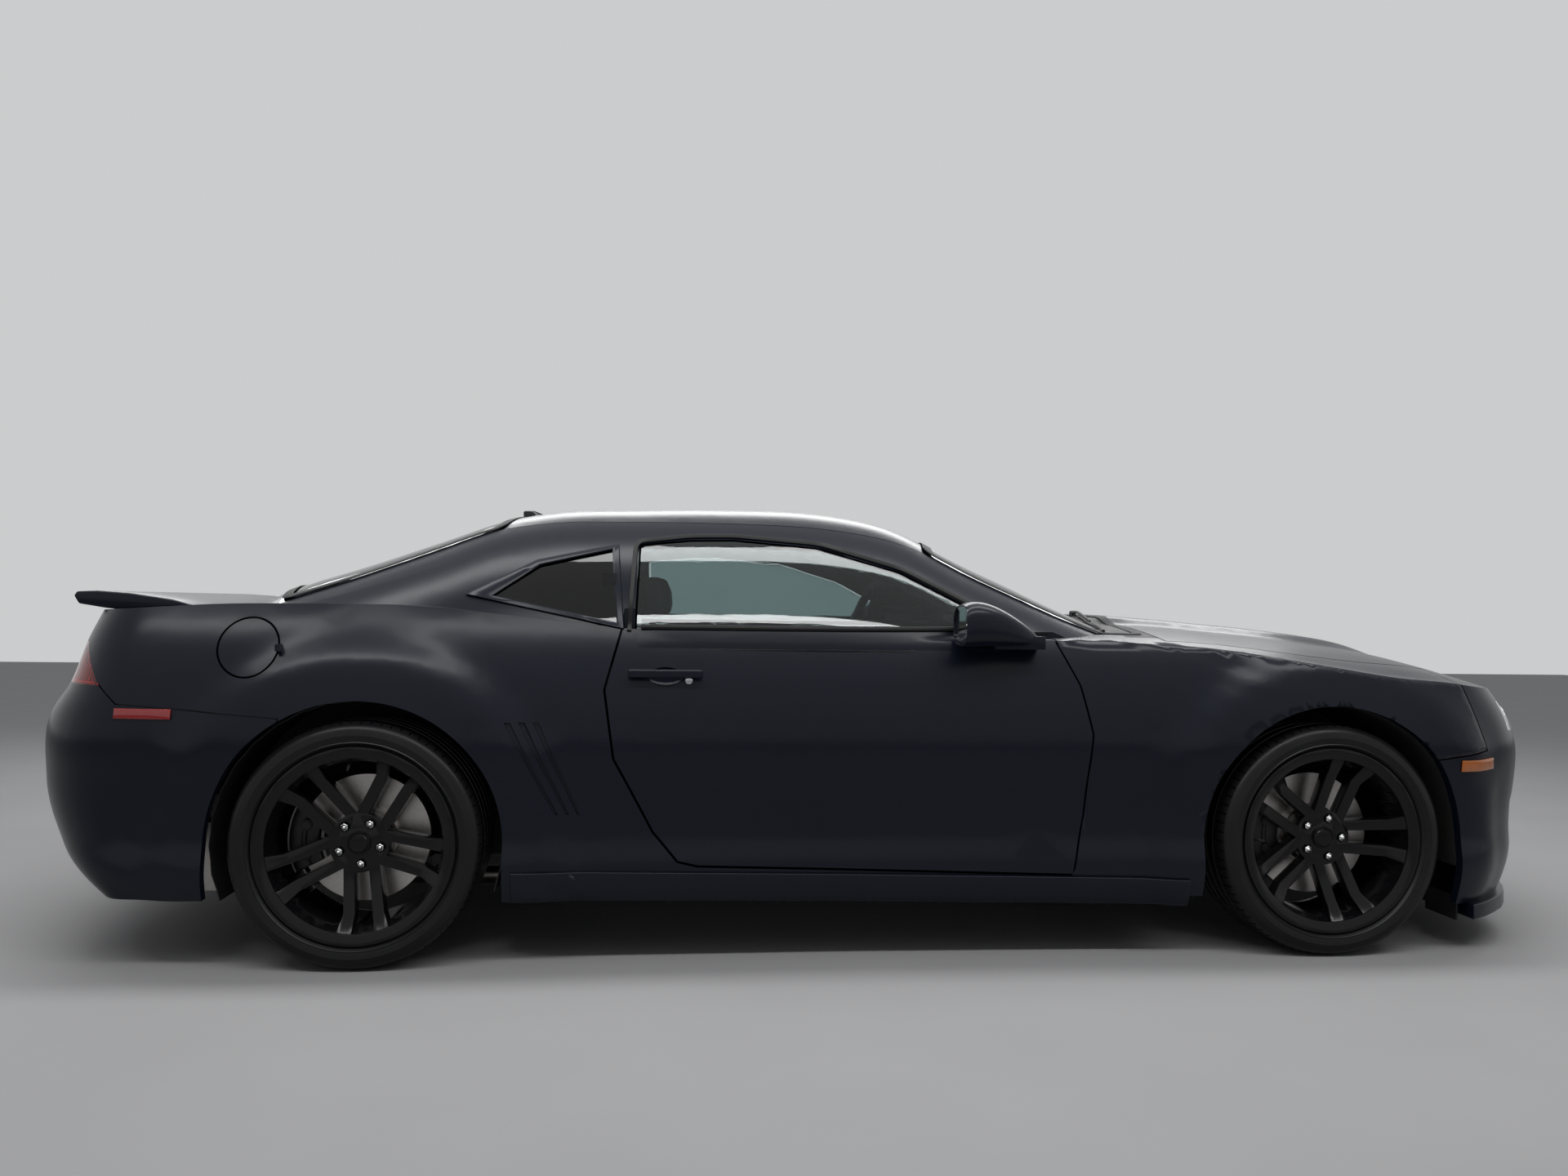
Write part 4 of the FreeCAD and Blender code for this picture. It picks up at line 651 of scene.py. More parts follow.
def tyre(end, side):
    """One tyre about the origin, then carried to its corner."""
    half = TYRE_HALF[end]
    piece = turned("tyre_" + end + "_" + side + "_tread", tyre_section(half, RIM_HALF[end]), (0, 0, 0),
                   (0, 1, 0), PITCHES * 3)
    row = 2 * math.pi / (PITCHES * 3)
    for point in piece.data.vertices:
        angle = math.atan2(point.co.z, point.co.x)
        number = round(angle / row)
        radius = math.hypot(point.co.x, point.co.z)
        angle = (number // 3 + ROW_PLACES[number % 3]) * 3 * row
        point.co.x, point.co.z = radius * math.cos(angle), radius * math.sin(angle)
    with editing(piece):
        select(lambda c, n: math.hypot(c.x, c.z) > SLOT_FOOT and half - 0.052 < abs(c.y) < half - 0.004
               and (math.atan2(c.z, c.x) / (3 * row)) % 1 < ROW_PLACES[1])
        bpy.ops.mesh.inset(thickness=0.0004, depth=0.0)
        bpy.ops.mesh.extrude_region_shrink_fatten(TRANSFORM_OT_shrink_fatten={"value": -SLOT_DEPTH})
    where = (AXLES[end], HUB_OUT * OUT[side], HUB_HEIGHT)
    piece.data.transform(Matrix.Translation(where))
    done(piece, "wheel_" + end + "_" + side, "tyre", smooth=28)
    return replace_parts(piece, "tyre_" + end + "_" + side)


for end, side in CORNERS:
    tyre(end, side)
print("tyres", [len(p.data.polygons) for p in MADE[-4:]], "faces")

# %% [markdown]
# ## Wheels, nuts and brakes
#
# The split spokes come from the solids. A copy with rounded edges stands in for each, because a cast
# wheel has no sharp edge and the thin highlights along its spokes are what make it read as metal. In the
# photograph each pair of spokes straddles a nut, so the seats of the copy are closed, it is turned by half
# a pitch, and new seats are cut. The chrome nuts start as six-sided cylinders whose ends are inset and
# pulled out into a dome.

# %% Wheels with rounded edges
SPOKE_FACE = {"front": HUB_OUT + 0.066, "rear": HUB_OUT + 0.076}
NUT_CIRCLE = 0.060
OLD_SEAT_RADIUS, OLD_SEAT_DEPTH = 0.0152, 0.016
NUT_TURN = {"front": 0.0, "rear": math.radians(-84)}
PITCH = 2 * math.pi / 5


def nut_places(end, first):
    """Where the five nuts of a wheel stand, seen from the street, with the first at an angle."""
    return [(AXLES[end] + NUT_CIRCLE * math.cos(first + PITCH * k),
             HUB_HEIGHT + NUT_CIRCLE * math.sin(first + PITCH * k)) for k in range(5)]


def split_wheel(end, side):
    """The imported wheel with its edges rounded, turned so that its pairs of spokes straddle the nuts."""
    out = OUT[side]
    centre = Vector((AXLES[end], 0, HUB_HEIGHT))
    name = "wheel_" + end + "_" + side
    piece = solid_copy(name, "rim_" + end + "_" + side)
    old = nut_places(end, math.radians(-90))
    with editing(piece):
        weld()
        select(lambda c, n: min(math.hypot(c.x - x, c.z - z) for x, z in old) < OLD_SEAT_RADIUS
               and c.y * out > SPOKE_FACE[end] - OLD_SEAT_DEPTH)
        bpy.ops.mesh.delete(type="FACE")
        take_all()
        bpy.ops.mesh.fill_holes(sides=0)
        take_all()
        bpy.ops.mesh.normals_make_consistent(inside=False)
        bpy.ops.mesh.dissolve_limited(angle_limit=math.radians(1.0))
    turn = Matrix.Rotation(math.radians(90) - NUT_TURN[end], 4, "Y")
    piece.data.transform(Matrix.Translation(centre) @ turn @ Matrix.Translation(-centre))
    seats = [turned("seat", [(0.0, 0.030), (0.0165, 0.030), (0.0150, -0.002), (0.0150, -0.012), (0.0, -0.012)],
                    (x, out * SPOKE_FACE[end], z), (0, out, 0), 24) for x, z in nut_places(end, NUT_TURN[end])]
    seats = joined("seats", seats)
    modify(piece, "BOOLEAN", object=seats, operation="DIFFERENCE", solver="EXACT")
    bpy.data.objects.remove(seats)
    bevelled(piece, 0.0012, 2, 32)
    done(piece, name, "wheel_black", None, 40)
    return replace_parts(piece, name)


for end, side in CORNERS:
    split_wheel(end, side)
print("wheels", [len(p.data.polygons) for p in MADE[-4:]], "faces")

# %% Nuts, valve and cap of one wheel
def nut():
    """A closed wheel nut at the origin with its dome to the street."""
    piece = start("cylinder", "nut", turn=(math.radians(90), 0, 0), vertices=6, radius=0.0112, depth=0.020)
    with editing(piece):
        for thickness, rise in ((0.0022, 0.0012), (0.0020, 0.0030), (0.0026, 0.0026), (0.0020, 0.0010)):
            select(lambda c, n: n.y < -0.95 and c.y < -0.009)
            bpy.ops.mesh.inset(thickness=thickness, depth=0.0)
            bpy.ops.transform.translate(value=(0, -rise, 0))
    return bevelled(piece, 0.0006, 2, 25)


def fastenings(end, side):
    """The five nuts, the valve and the raised ring of the cap, on one wheel."""
    out = OUT[side]
    face = out * SPOKE_FACE[end]
    centre = Vector((AXLES[end], 0, HUB_HEIGHT))
    flip = Matrix.Scale(-out, 4, (0, 1, 0))
    first = nut()
    nuts = []
    for x, z in nut_places(end, NUT_TURN[end]):
        at = Vector((x, face - out * 0.002, z))
        nuts.append(copied(first, "nut", Matrix.Translation(at) @ flip, flip=out > 0))
    bpy.data.objects.remove(first)
    nuts = joined("wheel_nuts_" + end + "_" + side, nuts)
    done(nuts, "wheel_" + end + "_" + side, "exhaust_metal", CHROME, 30)
    cap = turned("wheel_cap_" + end + "_" + side,
                 [(0.0, 0.0), (0.0, 0.0055), (0.012, 0.0052), (0.024, 0.004), (0.0265, 0.0015), (0.0280, 0.0015),
                  (0.0295, 0.0035), (0.0320, 0.0035), (0.0335, 0.0)], centre + Vector((0, face + out * 0.0078, 0)),
                 (0, out, 0), 40)
    done(cap, "wheel_" + end + "_" + side, "wheel_black")
    angle = NUT_TURN[end] + PITCH * 2.5
    foot = centre + Vector((0.231 * math.cos(angle), face + out * 0.020, 0.231 * math.sin(angle)))
    tip = centre + Vector((0.212 * math.cos(angle), face + out * 0.052, 0.212 * math.sin(angle)))
    valve = bar("wheel_valve_" + end + "_" + side, [foot, foot.lerp(tip, 0.5), foot.lerp(tip, 0.75), tip], 0.0042,
                12, taper=[1.3, 1.2, 0.8, 0.8])
    done(valve, "wheel_" + end + "_" + side, "black_plastic")


CHROME = metal("chrome", (0.55, 0.55, 0.56), (0.66, 0.66, 0.67), 0.06, 40.0, 0.000004)
for end, side in CORNERS:
    fastenings(end, side)
print("nuts, caps and valves on", len(CORNERS), "wheels")

# %% Calipers
def caliper(end, side):
    """The outer half of a brake caliper, with its ribs and two piston bosses, on the rear side of the disc."""
    out = OUT[side]
    face = out * (HUB_OUT + (0.014 if end == "front" else 0.024))
    centre = Vector((AXLES[end], face, HUB_HEIGHT))
    section = [(0.119, 0.0), (0.122, 0.008), (0.128, 0.010), (0.156, 0.010), (0.160, 0.006), (0.168, 0.006),
               (0.172, 0.010), (0.196, 0.0095), (0.204, 0.006), (0.208, 0.0)]
    body = turned("caliper", section, centre, (0, out, 0), 22, math.radians(54))
    with editing(body):
        take_all()
        bpy.ops.mesh.fill_holes(sides=0)
        bpy.ops.mesh.normals_make_consistent(inside=False)
    middle = sum((v.co for v in body.data.vertices), Vector()) / len(body.data.vertices) - centre
    spin = math.pi - math.atan2(middle.z, middle.x)
    spin = Matrix.Translation(centre) @ Matrix.Rotation(-spin, 4, "Y") @ Matrix.Translation(-centre)
    body.data.transform(spin)
    bevelled(body, 0.002, 2, 40)
    parts = [body]
    for angle in (-15, 15):
        around = math.radians(180 + angle)
        at = centre + Vector((0.163 * math.cos(around), out * 0.009, 0.163 * math.sin(around)))
        boss = turned("boss", [(0.0, -0.004), (0.0, 0.0055), (0.012, 0.0055), (0.0135, 0.004), (0.016, 0.004),
                               (0.019, -0.004)], at, (0, out, 0), 24)
        parts.append(boss)
    piece = joined("caliper_" + end + "_" + side, parts)
    carrier = "knuckle_" + side if end == "front" else "body"
    return done(piece, carrier, "cast_metal", CALIPER)


CALIPER = metal("caliper_black", (0.010, 0.010, 0.011), (0.020, 0.020, 0.021), 0.28, 120.0, 0.00004, 0.0, 0.3)
for end, side in CORNERS:
    caliper(end, side)
print("calipers", len(CORNERS))

# %% [markdown]
# ## Trims round the glass
#
# A black moulding hides the edge of each fixed pane, and a rubber lip runs round the door's opening. Each
# is a strip: a grid whose rows follow a line on the body, found by rays, then thickened and rounded.

# %% Window trims on the sides
def flat(points):
    return [Vector(p) for p in points]


SIDE_OUT, TOP_OUT = (0, -1, 0), (0, 0, 1)
DOOR_OPENING = flat([(-0.627, 0.950), (-0.617, 1.222), (-0.450, 1.243), (-0.315, 1.246), (-0.055, 1.225),
                     (0.197, 1.151), (0.402, 1.045), (0.585, 0.957)])
QUARTER_GLASS = flat([(-1.030, 1.050), (-0.664, 0.976), (-0.688, 1.196), (-0.899, 1.144)])
QUARTER_RIM = flat([(-1.112, 1.053), (-0.641, 0.957), (-0.668, 1.216), (-0.909, 1.161)])
seal = strip("roof_seal_right", rounded_line(DOOR_OPENING, 0.03, 0.022, False), 0.013, 0.005, on_side,
             SIDE_OUT, False)
both(seal, "body", "black_plastic", RUBBER)


def bevelled_frame(name, inner, outer, heights=(0.0005, 0.0045, 0.0035, -0.0015), steps=14):
    """A frame between two outlines that slopes like a chamfer, laid on the side of the body."""
    rows = len(inner) * steps
    piece = start("grid", name, x_subdivisions=rows, y_subdivisions=len(heights) - 1, size=1)
    for point in piece.data.vertices:
        row = round((point.co.x + 0.5) * rows) % rows
        column = round((point.co.y + 0.5) * (len(heights) - 1))
        corner, share = row // steps, (row % steps) / steps
        after = (corner + 1) % len(inner)
        near, far = inner[corner].lerp(inner[after], share), outer[corner].lerp(outer[after], share)
        spot = near.lerp(far, (0.0, 0.22, 0.86, 1.0)[column])
        point.co = on_side(spot.x, spot.y) + Vector((0, -heights[column], 0))
    faced(tidied(piece), SIDE_OUT)
    return modify(piece, "SOLIDIFY", thickness=0.003, offset=-1.0)


trim = both(bevelled_frame("quarter_trim_right", QUARTER_GLASS, QUARTER_RIM), "body", "body_paint")
print("side trims", len(seal.data.polygons), len(trim.data.polygons), "faces")

# %% The line between fender and door
SHUT_LINE = [(0.252, 0.6828), (0.424, 0.7148), (0.663, 0.7380), (0.805, 0.7041), (0.929, 0.6432),
             (1.010, 0.6432)]


def shut_x(z):
    """Where the front edge of the door lies at a height."""
    for (low, a), (high, b) in zip(SHUT_LINE, SHUT_LINE[1:]):
        if low <= z <= high:
            return a + (b - a) * (z - low) / (high - low)
    return None


def trimmed_fender(side, gap=0.006):
    """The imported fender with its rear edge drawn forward, which opens the line in front of the door."""
    piece = solid_copy("fender_" + side, "fender_skin_" + side)
    with editing(piece):
        weld()
    for point in piece.data.vertices:
        edge = shut_x(point.co.z)
        if edge is not None and abs(point.co.x - edge) < 0.003:
            point.co.x += gap
    done(piece, "body", "body_paint", None, 30)
    modify(piece, "WEIGHTED_NORMAL", mode="FACE_AREA_WITH_ANGLE", keep_sharp=True)
    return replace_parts(piece, "fender_" + side)


for side in ("right", "left"):
    trimmed_fender(side)
print("fenders", len(MADE[-1].data.polygons), "faces")

# %% Belt mouldings where the door glass sinks into the door
BELT_Z = 0.972
SHOULDER_FOOT = 0.903
STREET = -1.3


def belt_line(first, last, count, tree):
    """Points along the foot of a pane, just outside it and on top of the panel below."""
    line = []
    for k in range(count):
        x = first + (last - first) * k / (count - 1)
        pane = tree.ray_cast(Vector((x, -1.2, BELT_Z)), Vector((0, 1, 0)))[0]
        rest = on_top(x, pane.y - 0.012)
        line.append(Vector((x, pane.y - 0.008, rest.z + 0.001)))
    return line


PANE = skin_of(["door_glass_right"])
SEAT = belt_line(-0.592, 0.505, 26, PANE)
belt = both(bar("belt_moulding_right", SEAT, 0.008, 12), "door_right", "black_plastic", RUBBER)


def shoulder():
    """The painted top of the door, which covers the foot of the pane up to the moulding."""
    door = skin_of(["door_right", "door_glass_right"])

    def placed(along, rise):
        x = -0.600 + 1.120 * along
        near = min(SEAT, key=lambda spot: abs(spot.x - x))
        z = SHOULDER_FOOT + (near.z - SHOULDER_FOOT) * rise
        skin = door.ray_cast(Vector((x, STREET, z)), Vector((0, 1, 0)))[0] or on_side(x, z) or near
        proud = 0.0022 * min(1.0, rise * 5, along * 25, (1 - along) * 25)
        return x, skin.y - proud, z

    piece = sheet("door_shoulder_right", 56, 8, placed, SIDE_OUT)
    return modify(piece, "SOLIDIFY", thickness=0.0015, offset=-1.0)


both(shoulder(), "door_right", "body_paint", smooth=60)
inner = bar("belt_seal_right", [spot + Vector((0, 0.028, 0.012)) for spot in SEAT], 0.013, 12)
both(inner, "door_right", "black_plastic", RUBBER)
print("belt moulding", len(belt.data.polygons), "faces")

# %% Frames of the windscreen and the backlight
SCREEN = flat([(0.348, 0.0), (0.341, -0.300), (0.303, -0.557), (0.640, -0.637), (0.982, -0.712),
               (1.009, -0.400), (1.013, 0.0), (1.009, 0.400), (0.982, 0.712), (0.640, 0.637),
               (0.303, 0.557), (0.341, 0.300)])
BACKLIGHT = flat([(-1.003, 0.0), (-1.013, -0.300), (-1.043, -0.497), (-1.400, -0.542), (-1.697, -0.582),
                  (-1.742, -0.300), (-1.749, 0.0), (-1.742, 0.300), (-1.697, 0.582), (-1.400, 0.542),
                  (-1.043, 0.497), (-1.013, 0.300)])
for name, line in (("windscreen_band", SCREEN), ("backlight_band", BACKLIGHT)):
    band = strip(name, rounded_line(line, 0.05, 0.03), 0.030, 0.0016, on_top, TOP_OUT)
    done(band, "body", "gloss_black", RUBBER)
print("glass bands", len(band.data.polygons), "faces")

# %% [markdown]
# ## Small things on the outside
#
# Side markers, wipers, the aerial fin and the mirror panes are what tell a car from a model of one.

# %% Side markers
def lamp_plastic(name, dark, light):
    material, shader, wire = finish(name, Roughness=0.12, Coat_Weight=0.8, Coat_Roughness=0.04)
    ribs = wire.node("TexWave", {"bands_direction": "X"}, {"Vector": place(wire), "Scale": 60.0})
    feed(shader, shade(wire, ribs, dark, light), "Base Color")
    relief(wire, shader, ribs, 0.0006)
    return material


AMBER = lamp_plastic("amber_lens", (0.42, 0.10, 0.008), (0.62, 0.17, 0.012))
RED = lamp_plastic("red_lens", (0.22, 0.004, 0.006), (0.40, 0.010, 0.012))
MARKERS = (("front_marker_right", [(1.876, 0.574), (1.935, 0.574), (2.010, 0.577)], 0.034, AMBER, "lamp_clear"),
           ("rear_marker_right", [(-2.019, 0.712), (-1.945, 0.711), (-1.868, 0.710)], 0.028, RED, "lamp_red"))
for name, line, width, material, slot in MARKERS:
    marker = strip(name, rounded_line(flat(line), 0.01, 0.02, False), width, 0.004, on_side, SIDE_OUT, False)
    both(marker, "body", slot, material)
print("side markers", len(MARKERS) * 2)

# %% The aerial fin on the roof
def fin():
    """A fin whose back is upright and whose front slopes, from a cube whose top is drawn in."""
    low = on_top(-0.995, 0.0)
    base, head = low.z - 0.012, min(low.z + 0.044, BOX_HIGH[2] - 0.002)
    piece = subdivided(block("aerial_fin", (-1.040, -0.034, base), (-0.900, 0.034, head)), 5)
    for point in piece.data.vertices:
        up = (point.co.z - base) / (head - base)
        point.co.y *= (1 - 0.86 * up ** 0.8) * (1 - max(0.0, (point.co.x + 0.985) / 0.085) ** 2 * 0.8)
        point.co.x += -0.004 * up if point.co.x < -1.03 else 0
        point.co.x -= max(0.0, point.co.x + 1.030) * 0.8 * up
        drop = on_top(min(point.co.x, -0.90), point.co.y)
        point.co.z += (drop.z - low.z) * (1 - up)
    modify(piece, "SUBSURF", levels=1, render_levels=1)
    return done(piece, "body", "gloss_black")


fin()
print("aerial fin", len(MADE[-1].data.polygons), "faces")

# %% Wipers
def wiper(name, pivot, tip, reach):
    """An arm from its cap on the cowl to a long blade that lies on the windscreen."""
    pivot_at, tip_at = on_top(*pivot), on_top(*tip)
    cap = turned(name + "_cap", [(0.0, -0.004), (0.0, 0.018), (0.009, 0.017), (0.013, 0.012), (0.014, -0.004)],
                 pivot_at, (0, 0, 1), 20)
    lift = Vector((0, 0, 0.016))
    middle = pivot_at.lerp(tip_at, 0.5)
    arm = bar(name + "_arm", [pivot_at + lift * 0.7, pivot_at.lerp(tip_at, 0.2) + lift * 1.3,
                              middle + lift * 1.4, tip_at + lift * 0.9], 0.0058, 8, taper=[1.25, 1.0, 0.75, 0.6])
    along = (tip_at - pivot_at).normalized()
    blade_line = []
    for k in range(9):
        spot = tip_at - along * reach * (0.5 - k / 8)
        blade_line.append(on_top(spot.x, spot.y) + Vector((0, 0, 0.0055)))
    blade = bar(name + "_blade", blade_line, 0.0055, 8)
    return done(joined(name, [cap, arm, blade]), "body", "black_plastic")


wiper("wiper_right", (0.985, -0.020), (0.915, -0.400), 0.52)
wiper("wiper_left", (0.985, 0.560), (0.925, 0.150), 0.56)
print("wipers 2")

# %% Mirror panes
SILVER = metal("mirror_silver", (0.66, 0.67, 0.68), (0.70, 0.71, 0.72), 0.015, 3.0, 0.0)


def mirror_pane():
    """The silvered pane in the back of the right mirror housing, set in from its rim."""
    middle = Vector((0.336, -0.948, 0.9825))
    piece = start("circle", "mirror_pane_right", vertices=40, radius=1, fill_type="NGON")
    for point in piece.data.vertices:
        angle = math.atan2(point.co.y, point.co.x)
        across = math.copysign(abs(math.cos(angle)) ** 0.62, math.cos(angle))
        rise = math.copysign(abs(math.sin(angle)) ** 0.62, math.sin(angle))
        point.co = middle + Vector((0, across * 0.080, rise * 0.053))
    modify(piece, "SOLIDIFY", thickness=0.003, offset=0.0)
    bevelled(piece, 0.0008, 2, 40)
    return tidied(piece)


both(mirror_pane(), "door_right", "glass", SILVER)
print("mirror panes 2")

# %% [markdown]
# ## Lamps
#
# The lamp solids are blocks of clear or red plastic. What makes a lamp is inside it, so the bowls, bars
# and rings are set a few millimetres under the surface of the block, where the light bends round them.

# %% Rays for lamps that wrap round a corner
LAMPS = skin_of(["tail_lamps", "headlamps"])


def around(centre, angle, z, depth, tree=LAMPS):
    """The point at a depth under the skin, on a level ray that comes in towards a centre."""
    way = Vector((math.cos(angle), math.sin(angle), 0))
    hit = tree.ray_cast(Vector((*centre, z)) + way * 2.0, -way)[0]
    return None if hit is None else hit - way * depth


# %% Tail lamps
LAMP_FOOT, LAMP_HEAD = 0.790, 0.899
LAMP_CENTRE = (-1.75, -0.40)
LAMP_EDGE = ((-2.075, 0.7862), (-2.159, 0.903))
BAR_STEP = math.radians(1.5)


def lamp_bowl(name, dark, light, gloss):
    material, shader, wire = finish(name, Metallic=0.2)
    cloud = noise(wire, 40.0)
    feed(shader, shade(wire, cloud, dark, light), "Base Color")
    feed(shader, gloss + cloud * 0.15, "Roughness")
    return material


BAR_RED = lamp_bowl("lamp_bar_red", (0.62, 0.020, 0.030), (0.80, 0.060, 0.070), 0.2)
BAR_PALE = lamp_bowl("lamp_bar_pale", (0.80, 0.78, 0.76), (0.90, 0.88, 0.86), 0.2)


def front_edge(z):
    """Where the front edge of the tail lamp lies at a height."""
    (x0, z0), (x1, z1) = LAMP_EDGE
    return x0 + (z - z0) / (z1 - z0) * (x1 - x0)


def under_lens(places, depth, margin, inner):
    """The points under the right tail lamp's skin, at pairs of angle and height, that clear its edges."""
    spots = [(around(LAMP_CENTRE, angle, z, depth), z) for angle, z in places]
    return [spot for spot, z in spots
            if spot is not None and spot.x < front_edge(z) - margin and spot.y < inner]


FIRST, LAST = math.radians(-116), math.radians(-187)
ANGLES = [FIRST - k * BAR_STEP for k in range(int((FIRST - LAST) / BAR_STEP) + 1)]
HEIGHTS = [LAMP_FOOT + 0.004 + (LAMP_HEAD - LAMP_FOOT - 0.008) * share / 24 for share in range(25)]
bars = []
for angle in ANGLES:
    line = under_lens([(angle, z) for z in HEIGHTS], 0.009, 0.012, -0.346)
    line = line[::6] + line[-1:] if len(line) > 2 else line
    if len(line) > 1:
        bars.append(bar("tail_bar", line, 0.0042, 8))
both(joined("tail_lamp_bars_right", bars), "body", "lamp_red", BAR_RED)
foot = under_lens([(angle, LAMP_FOOT + 0.001) for angle in ANGLES], 0.006, 0.006, -0.342)
both(bar("tail_lamp_foot_right", foot, 0.0048, 8), "body", "lamp_red", BAR_PALE)
print("tail lamp bars", len(bars))

# %% [markdown]
# Each headlamp has two round units. Behind each sits a bowl turned on a lathe, with a bright ring round
# it and a glass bead in the middle.

# %% Headlamps
HEAD_UNITS = ((-0.700, 0.700, 0.040), (-0.570, 0.698, 0.040))
NOSE = skin_of(["headlamps", "front_bumper", "grille"])


def on_front(y, z, tree=NOSE):
    return land((BOX_HIGH[0] + 0.2, y, z), (-1, 0, 0), tree)


def head_unit(y, z, radius):
    """A dark bowl, a pale ring and a bead, all under the lens."""
    face = on_front(y, z)
    others = [on_front(y - 0.012, z), on_front(y + 0.012, z), on_front(y, z - 0.012), on_front(y, z + 0.012)]
    way = (others[1] - others[0]).cross(others[3] - others[2]).normalized()
    way = way if way.x > 0 else -way
    centre = face - way * 0.016
    bowl = turned("bowl", [(0.0, -0.006), (radius * 0.55, -0.005), (radius * 0.9, 0.004), (radius, 0.007),
                           (radius * 1.04, 0.005), (radius * 0.6, -0.010), (0.0, -0.011)], centre, way, 40)
    ring = turned("ring", [(radius * 0.80, 0.006), (radius * 0.86, 0.0095), (radius * 0.97, 0.0095),
                           (radius, 0.006), (radius * 0.9, 0.003)], centre, way, 48)
    bead = turned("bead", [(0.0, 0.010), (radius * 0.25, 0.0085), (radius * 0.42, 0.0045), (radius * 0.5, 0.0),
                           (radius * 0.5, -0.004), (0.0, -0.004)], centre, way, 32)
    return bowl, ring, bead


bowls, rings, beads = zip(*(head_unit(*unit) for unit in HEAD_UNITS))
for name, parts, slot, material in (("headlamp_bowls_right", bowls, "gloss_black", None),
                                    ("headlamp_rings_right", rings, "lamp_clear", BAR_PALE),
                                    ("headlamp_beads_right", beads, "lamp_clear", CHROME)):
    both(joined(name, list(parts)), "body", slot, material)
print("headlamp units", len(HEAD_UNITS) * 2)

# %% [markdown]
# ## Grille
#
# The mesh of the nose is a honeycomb. One six-sided cell is inset to leave its rim, copied in rows, laid
# on the sheet that the solid marks, and thickened. Only cells within the openings are kept.

# %% Honeycomb grille
CELL = 0.021
SHEET = skin_of(["grille"])
UPPER = [(-0.430, 0.640), (0.430, 0.640), (0.442, 0.700), (0.430, 0.750), (-0.430, 0.750), (-0.442, 0.700)]
LOWER = [(-0.482, 0.218), (0.482, 0.218), (0.587, 0.330), (0.612, 0.482), (-0.612, 0.482), (-0.587, 0.330)]
DUCT = [(-0.757, 0.290), (-0.653, 0.275), (-0.638, 0.400), (-0.678, 0.482), (-0.772, 0.450)]


def inside(spot, outline):
    """Whether a flat point lies within an outline."""
    crossings = False
    for a, b in zip(outline, outline[1:] + outline[:1]):
        if (a[1] > spot[1]) != (b[1] > spot[1]):
            crossings ^= spot[0] < a[0] + (b[0] - a[0]) * (spot[1] - a[1]) / (b[1] - a[1])
    return crossings


def honeycomb(name, outlines):
    cell = start("circle", "cell", vertices=6, radius=CELL * 0.5774, fill_type="NGON")
    with editing(cell):
        take_all()
        bpy.ops.mesh.inset(thickness=0.0021, depth=0.0)
        bpy.ops.mesh.delete(type="FACE")
    cells = []
    for row in range(-2, 40):
        for column in range(-40, 41):
            spot = ((column + (row % 2) * 0.5) * CELL, 0.20 + row * CELL * 0.866)
            if any(inside(spot, outline) for outline in outlines):
                cells.append(copied(cell, "cell", Matrix.Translation((*spot, 0))))
    bpy.data.objects.remove(cell)
    piece = joined(name, cells)
    stray = set()
    for point in piece.data.vertices:
        hit = SHEET.ray_cast(Vector((BOX_HIGH[0] + 0.1, point.co.x, point.co.y)), Vector((-1, 0, 0)))[0]
        if hit is None:
            stray.add(point.index)
            hit = Vector((2.0, 0, 0))
        point.co = (hit.x, point.co.x, point.co.y)
    with editing(piece):
        mesh = bmesh.from_edit_mesh(piece.data)
        for corner in mesh.verts:
            corner.select = corner.index in stray
        bpy.ops.mesh.delete(type="VERT")
    with editing(piece):
        take_all()
        bpy.ops.mesh.remove_doubles(threshold=0.0012)
    faced(piece, (1, 0, 0))
    modify(piece, "SOLIDIFY", thickness=0.009, offset=-1.0)
    return len(cells), piece


count, grille = honeycomb("honeycomb_grille", [UPPER, LOWER, DUCT, [(-y, z) for y, z in DUCT]])
done(grille, "body", "black_plastic", smooth=30)
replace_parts(grille, "grille")
print("grille cells", count, "faces", len(grille.data.polygons))

# %% Exhaust ends
def exhaust_end():
    """A rolled steel end round the pipe, closed inside by a dark disc that is partly soot and partly painted shade
    in place of the pipe's dark depth.
    """
    centre = (-2.262, -0.330, 0.235)
    ring = turned("exhaust_end_right", [(0.0445, 0.0), (0.0475, 0.002), (0.0475, 0.040), (0.0460, 0.043),
                                        (0.0430, 0.043), (0.0415, 0.040), (0.0415, 0.016), (0.0445, 0.014)],
                  centre, (-1, 0, 0), 48)
    both(ring, "body", "exhaust_metal")
    # A dark disc closes the pipe: it is sooty, and it is also painted shade where the real pipe runs on into the
    # dark.
    soot_and_shade = turned("exhaust_soot_right", [(0.0, 0.0135), (0.0420, 0.0135), (0.0420, 0.0150), (0.030, 0.0165),
                                         (0.0, 0.0168)], centre, (-1, 0, 0), 32)
    both(soot_and_shade, "body", "underbody")


exhaust_end()
print("exhaust ends 2")

# %% [markdown]
# ## Seats
#
# A car seat is foam under leather. Each pad starts as a cube whose points are set along a spine, wider and
# thicker at its side bolsters. A voxel remesh evens its skin, and Cloth with a little pressure and no
# gravity lets the leather swell between its seams. The seams and channels are pressed in afterwards.

# %% A pad along a spine
SIM_FRAMES = 20


def along(spine, share):
    """The place and the facing direction at a share of a spine of (x, z) points."""
    spots = [Vector(p) for p in spine]
    lengths = [(b - a).length for a, b in zip(spots, spots[1:])]
    rest = share * sum(lengths)
    for (a, b), length in zip(zip(spots, spots[1:]), lengths):
        if rest <= length or b is spots[-1]:
            way = (b - a).normalized()
            return a + way * rest, Vector((way.y, -way.x))
        rest -= length


